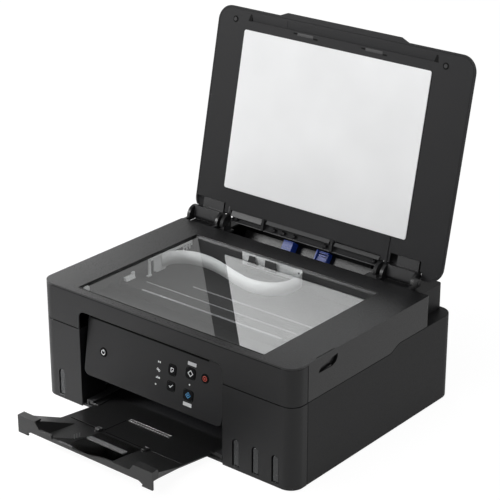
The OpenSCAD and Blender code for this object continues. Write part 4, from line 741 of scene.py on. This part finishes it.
# Lower edge of the inner panel: a shelf in three lengths above the trough, two ribs between
# them, a thin lip below, and the small catches in the trough.
# The shelf is the panel's own plastic in a paler grey: painted light on its upturned face.
shelf_painted_light_grey = moulded_plastic("shelf_painted_light_grey", (0.03, 0.03, 0.031), rough=0.45)
bm = bmesh.new()
for x0, x1, top, foot in ((-139.6, -86, 20.3, 12.6), (-78, 29.5, 20.6, 15.8), (38, 111, 19, 14.4)):
    shelf = block(bm, (x0, x1), (foot, top), (-1.2, 3.2))
    for vert in shelf:
        if vert.co.y > foot + 1 and vert.co.z > 0:
            vert.co.z = 0.2
fitted("trough_shelf", bm, cover_frame, "cover", shelf_painted_light_grey, 0.3)
bm = bmesh.new()
for x in (-84, 33.5):
    block(bm, (x - 1.8, x + 1.8), (5, 21.6), (-2, 2.2))
    block(bm, (x - 3.2, x + 3.2), (18, 21.6), (-2, 1.2))
block(bm, (118.6, 122.4), (7, 48.5), (-0.5, 1.1))
for x, wide in ((-132, 5), (-66, 6), (-51, 9), (-31, 5), (21, 6), (101, 6)):
    block(bm, (x - wide / 2, x + wide / 2), (8, 11.4), (-3.4, 0.6))
    block(bm, (x - 0.6, x + 0.6), (5, 12.4), (-3.4, 0.9))
fitted("trough_catches", bm, cover_frame, "cover", cover_black, 0.3)
# The thin lip and the short upright at its left end are pale grey strips: painted highlights on the edges
# there.
bm = bmesh.new()
block(bm, (-141, 110), (4.7, 5.7), (-1.6, 0.9))
block(bm, (-146.6, -145), (15.8, 24.5), (-1, 0.5))
fitted("trough_lip", bm, cover_frame, "cover",
       moulded_plastic("lip_highlight_grey", (0.07, 0.07, 0.072), rough=0.4), 0.3)

# Backs of the slots in which the unit's ears stand: they follow the shell's slope past the ears.
bm = bmesh.new()
for x0, x1 in ((-209, -201.6), (-157.7, -146), (118, 130.7), (170.3, 176.5)):
    back = block(bm, (max(x0, -207.4), x1), (11.5, 15.2), (0, 0.4))
    for vert in back:
        vert.co.z += -7.2 - 0.679 * (vert.co.y - 12)
fitted("ear_slot_backs", bm, cover_frame, "cover", cover_black, 0.05)

# ---- Rear feed ----
# Sloping housing behind the scanner unit, with the paper support folded down behind it. One
# steel pinion joins the two blue guides.

eased("rear_tray_housing", case_black, 0.0008)
eased("paper_chute", frame_grey, 0.0005)
guide_blue = moulded_plastic("guide_blue", (0.012, 0.05, 0.34), rough=0.3)
eased("paper_guide_left", guide_blue, 0.0003)
eased("paper_guide_right", guide_blue, 0.0003)
eased("paper_support", case_black, 0.0004)
roller_rubber = moulded_plastic("roller_rubber", (0.05, 0.05, 0.053), rough=0.8, size=700)
finished("feed_roller", roller_rubber)


def metal(name, colour, rough, brushed=1.0):
    """Bare metal; brushed stretches its fine scratches along the printer's width."""
    material = bpy.data.materials.new(name)
    material.use_nodes = True
    nodes, links = material.node_tree.nodes, material.node_tree.links
    skin = nodes["Principled BSDF"]
    skin.inputs["Base Color"].default_value = (*colour, 1)
    skin.inputs["Metallic"].default_value = 1.0
    place = nodes.new("ShaderNodeTexCoord")
    turn = nodes.new("ShaderNodeMapping")
    turn.inputs["Scale"].default_value = (1 / brushed, 1, 1)
    scratches = nodes.new("ShaderNodeTexNoise")
    scratches.inputs["Scale"].default_value = 900
    scratches.inputs["Detail"].default_value = 4
    polish = nodes.new("ShaderNodeMapRange")
    polish.inputs["From Min"].default_value = 0.3
    polish.inputs["From Max"].default_value = 0.7
    polish.inputs["To Min"].default_value = rough - 0.08
    polish.inputs["To Max"].default_value = rough + 0.12
    links.new(place.outputs["Object"], turn.inputs["Vector"])
    links.new(turn.outputs["Vector"], scratches.inputs["Vector"])
    links.new(scratches.outputs["Fac"], polish.inputs["Value"])
    links.new(polish.outputs["Result"], skin.inputs["Roughness"])
    return material


steel = metal("zinc_steel", (0.56, 0.57, 0.59), 0.34, 30)
finished("guide_pinion", steel)

# ---- Output tray ----
# The tray is pulled out. Its sloping deck has a window over the sliding extension, and a lip with
# a scoop closes its front.

tray_black = moulded_plastic("tray_black", (0.005, 0.005, 0.0052), rough=0.4, gloss=0.65)
eased("output_tray", tray_black, 0.0007, 3)
# The extension's black is paler than the deck's: painted light, for the light it shows below the deck's
# window.
eased("tray_extension", moulded_plastic("extension_black", (0.022, 0.022, 0.023), rough=0.45), 0.0003)

# Along the deck: across it, forward and back, and up from its sloping top.
deck_z, deck_slope = 9.4, 0.125
deck_frame = case_frame @ Matrix.Translation((0, 0, deck_z)) @ \
    Matrix.Rotation(-math.atan(deck_slope), 4, "X")
# Two pale greys: the paler one is painted highlight on the ridge crests and also colours the extension's
# grip; the other marks the joint eyes, the slanting ribs, the lip's tab and the painted highlights along the
# lip's upper edges.
crest_grey = moulded_plastic("crest_grey", (0.075, 0.075, 0.077), rough=0.35)
pale_grey_and_highlight = moulded_plastic("pale_grey_and_highlight", (0.2, 0.2, 0.203), rough=0.4)

# Pale strips along the crests of the two low ridges are painted highlights, joined by a short bar at each
# end, and eyes sit on the joints.
bm = bmesh.new()
for y in (-2.6, 2.6):
    block(bm, (-56.3, 12.3), (y + 0.1, y + 1.4), (0.7, 1.3))
for x in (-56.3, 11.3):
    block(bm, (x, x + 1), (-2.5, 4), (0.2, 1.2))
fitted("deck_ridge_highlights", bm, deck_frame, "output_tray", pale_grey_and_highlight, 0.25)
# The square eye on the left joint is a real part; the small block on the right joint is a painted highlight.
bm = bmesh.new()
for low, high, y0, y1 in ((-64.6, -63.2, -55.4, -47.6), (-59.2, -57.8, -55.4, -47.6),
                          (-64.6, -57.8, -55.4, -54), (-64.6, -57.8, -49, -47.6),
                          (15.4, 20.6, -49.4, -47.8)):
    block(bm, (low, high), (y0, y1), (2.3, 3.3))
fitted("deck_joint_eyes", bm, deck_frame, "output_tray", crest_grey, 0.2)

# Fold lines of the deck as thin dark strips of painted shade in their grooves, and the recess in which
# fingers reach the grip as a flat plate with little sheen, darker than the deck: painted shade. The recess
# has slanting ribs.
bm = bmesh.new()
block(bm, (-112, -67), (-50.4, -48.3), (-0.3, 0.06))
block(bm, (-51, 11), (-50.6, -48.8), (-0.3, 0.06))
fold = block(bm, (-57.6, -56), (-46, -3), (-0.3, 0.06))
for vert in fold:
    if vert.co.y > -20:
        vert.co.x -= 2.8
fitted("deck_fold_shades", bm, deck_frame, "output_tray", black_and_painted_shade, 0.02)
bm = bmesh.new()
recess = block(bm, (-88, -56.6), (-115.6, -78), (-0.3, 0.08))
for vert in recess:
    if vert.co.x < -80 and vert.co.y > -80:
        vert.co.x, vert.co.y = -66, -96.5
fitted("deck_recess_shade", bm, deck_frame, "output_tray",
       moulded_plastic("recess_shade_black", (0.005, 0.005, 0.005), rough=0.5, gloss=0.12), 0.02)
bm = bmesh.new()
for y in (-90, -85.4, -80.8):
    bar = block(bm, (-74, -60), (y, y + 1.2), (-0.2, 0.5))
    bmesh.ops.rotate(bm, verts=bar, cent=(-67, y, 0), matrix=Matrix.Rotation(math.radians(-45), 3, "Z"))
fitted("deck_arrow_ribs", bm, deck_frame, "output_tray", crest_grey, 0.2)

# The lip's pale tab and the pale strips along the lip's upper edges, which are painted highlights, and the
# extension's ribbed grip.
grip_ribs, rib_step = 20, 3.1
bm = bmesh.new()
block(bm, (-63.6, -40.7), (-118.95, -116.6), (25, 28.7))
for x0, x1, top in ((-133.4, -105, 40.95), (-101, -75.4, 32), (62, 90.4, 40.95)):
    block(bm, (x0, x1), (-118.95, -118.2), (top - 0.7, top))
fitted("lip_edge_highlights", bm, case_frame, "output_tray", crest_grey, 0.25)
bm = bmesh.new()
block(bm, (-52, 9), (-82.4, -74.8), (0.7, 1.5))
for i in range(grip_ribs):
    block(bm, (-51.6 + i * rib_step, -50 + i * rib_step), (-82.8, -74.4), (1.2, 2.2))
fitted("extension_grip", bm, deck_frame, "tray_extension", pale_grey_and_highlight, 0.25)

# ---- Print engine ----
# The works inside the case: sheet steel frame and rail, rollers and gears, the carriage with its
# two heads, and the belt that pulls it.

for node in ("chassis", "drive_pulley", "idler_pulley", "carriage_motor", "paper_feed_motor"):
    finished(node, steel)
engine_black = moulded_plastic("engine_black", (0.02, 0.02, 0.021), rough=0.5)
for node in ("platen", "pinch_roller_bar", "maintenance_unit", "print_carriage"):
    eased(node, engine_black, 0.0003)
head_black = moulded_plastic("head_black", (0.012, 0.012, 0.013), rough=0.35)
for node in ("print_head_black", "print_head_colour"):
    eased(node, head_black, 0.0003)

# The toothed belt: its teeth are a fine even relief along its run.
belt_rubber = moulded_plastic("belt_rubber", (0.015, 0.015, 0.016), rough=0.7)
tree = belt_rubber.node_tree
along = tree.nodes.new("ShaderNodeTexCoord")
teeth = tree.nodes.new("ShaderNodeTexWave")
teeth.inputs["Scale"].default_value = 160
lift = tree.nodes.new("ShaderNodeBump")
lift.inputs["Distance"].default_value = 0.0006
tree.links.new(along.outputs["Object"], teeth.inputs["Vector"])
tree.links.new(teeth.outputs["Fac"], lift.inputs["Height"])
tree.links.new(lift.outputs["Normal"], tree.nodes["Principled BSDF"].inputs["Normal"])
finished("carriage_belt", belt_rubber)
for node in ("line_feed_roller", "eject_roller"):
    finished(node, roller_rubber)
finished("idler_gear", moulded_plastic("gear_white", (0.7, 0.7, 0.68), rough=0.4))
finished("motor_pinion", metal("brass", (0.68, 0.48, 0.2), 0.28))

# ---- Power and electronics ----
# Power supply, mains inlet and main board, which carries the data socket at its rear edge.

finished("power_supply", pan_black)
finished("power_inlet", pan_black)

# Solder mask over copper tracks: the tracks show as paler lanes in the green.
board_green = moulded_plastic("board_green", (0.01, 0.1, 0.04), rough=0.35, grain=0.1)
tree = board_green.node_tree
place = tree.nodes.new("ShaderNodeTexCoord")
lanes = tree.nodes.new("ShaderNodeTexBrick")
lanes.inputs["Color1"].default_value = (0.008, 0.09, 0.035, 1)
lanes.inputs["Color2"].default_value = (0.012, 0.11, 0.045, 1)
lanes.inputs["Mortar"].default_value = (0.03, 0.22, 0.09, 1)
lanes.inputs["Scale"].default_value = 140
lanes.inputs["Mortar Size"].default_value = 0.04
tree.links.new(place.outputs["Object"], lanes.inputs["Vector"])
tree.links.new(lanes.outputs["Color"], tree.nodes["Principled BSDF"].inputs["Base Color"])
finished("main_board", board_green)

# Shell of the data socket at the board's rear edge, with its dark inside and its tongue.
bm = bmesh.new()
for z0, z1 in ((21.5, 23.1), (31.1, 32.7)):
    block(bm, (85.9, 98.1), (317, 336.3), (z0, z1))
for x0, x1 in ((85.9, 87.5), (96.5, 98.1)):
    block(bm, (x0, x1), (317, 336.3), (21.5, 32.7))
fitted("data_socket_shell", bm, case_frame, "base", steel, 0.2)
bm = bmesh.new()
block(bm, (87.4, 96.6), (322.9, 326), (23, 31.2))
block(bm, (89, 95), (325, 334), (27.4, 29.4))
fitted("data_socket_core", bm, case_frame, "base", black_and_painted_shade, 0.1)
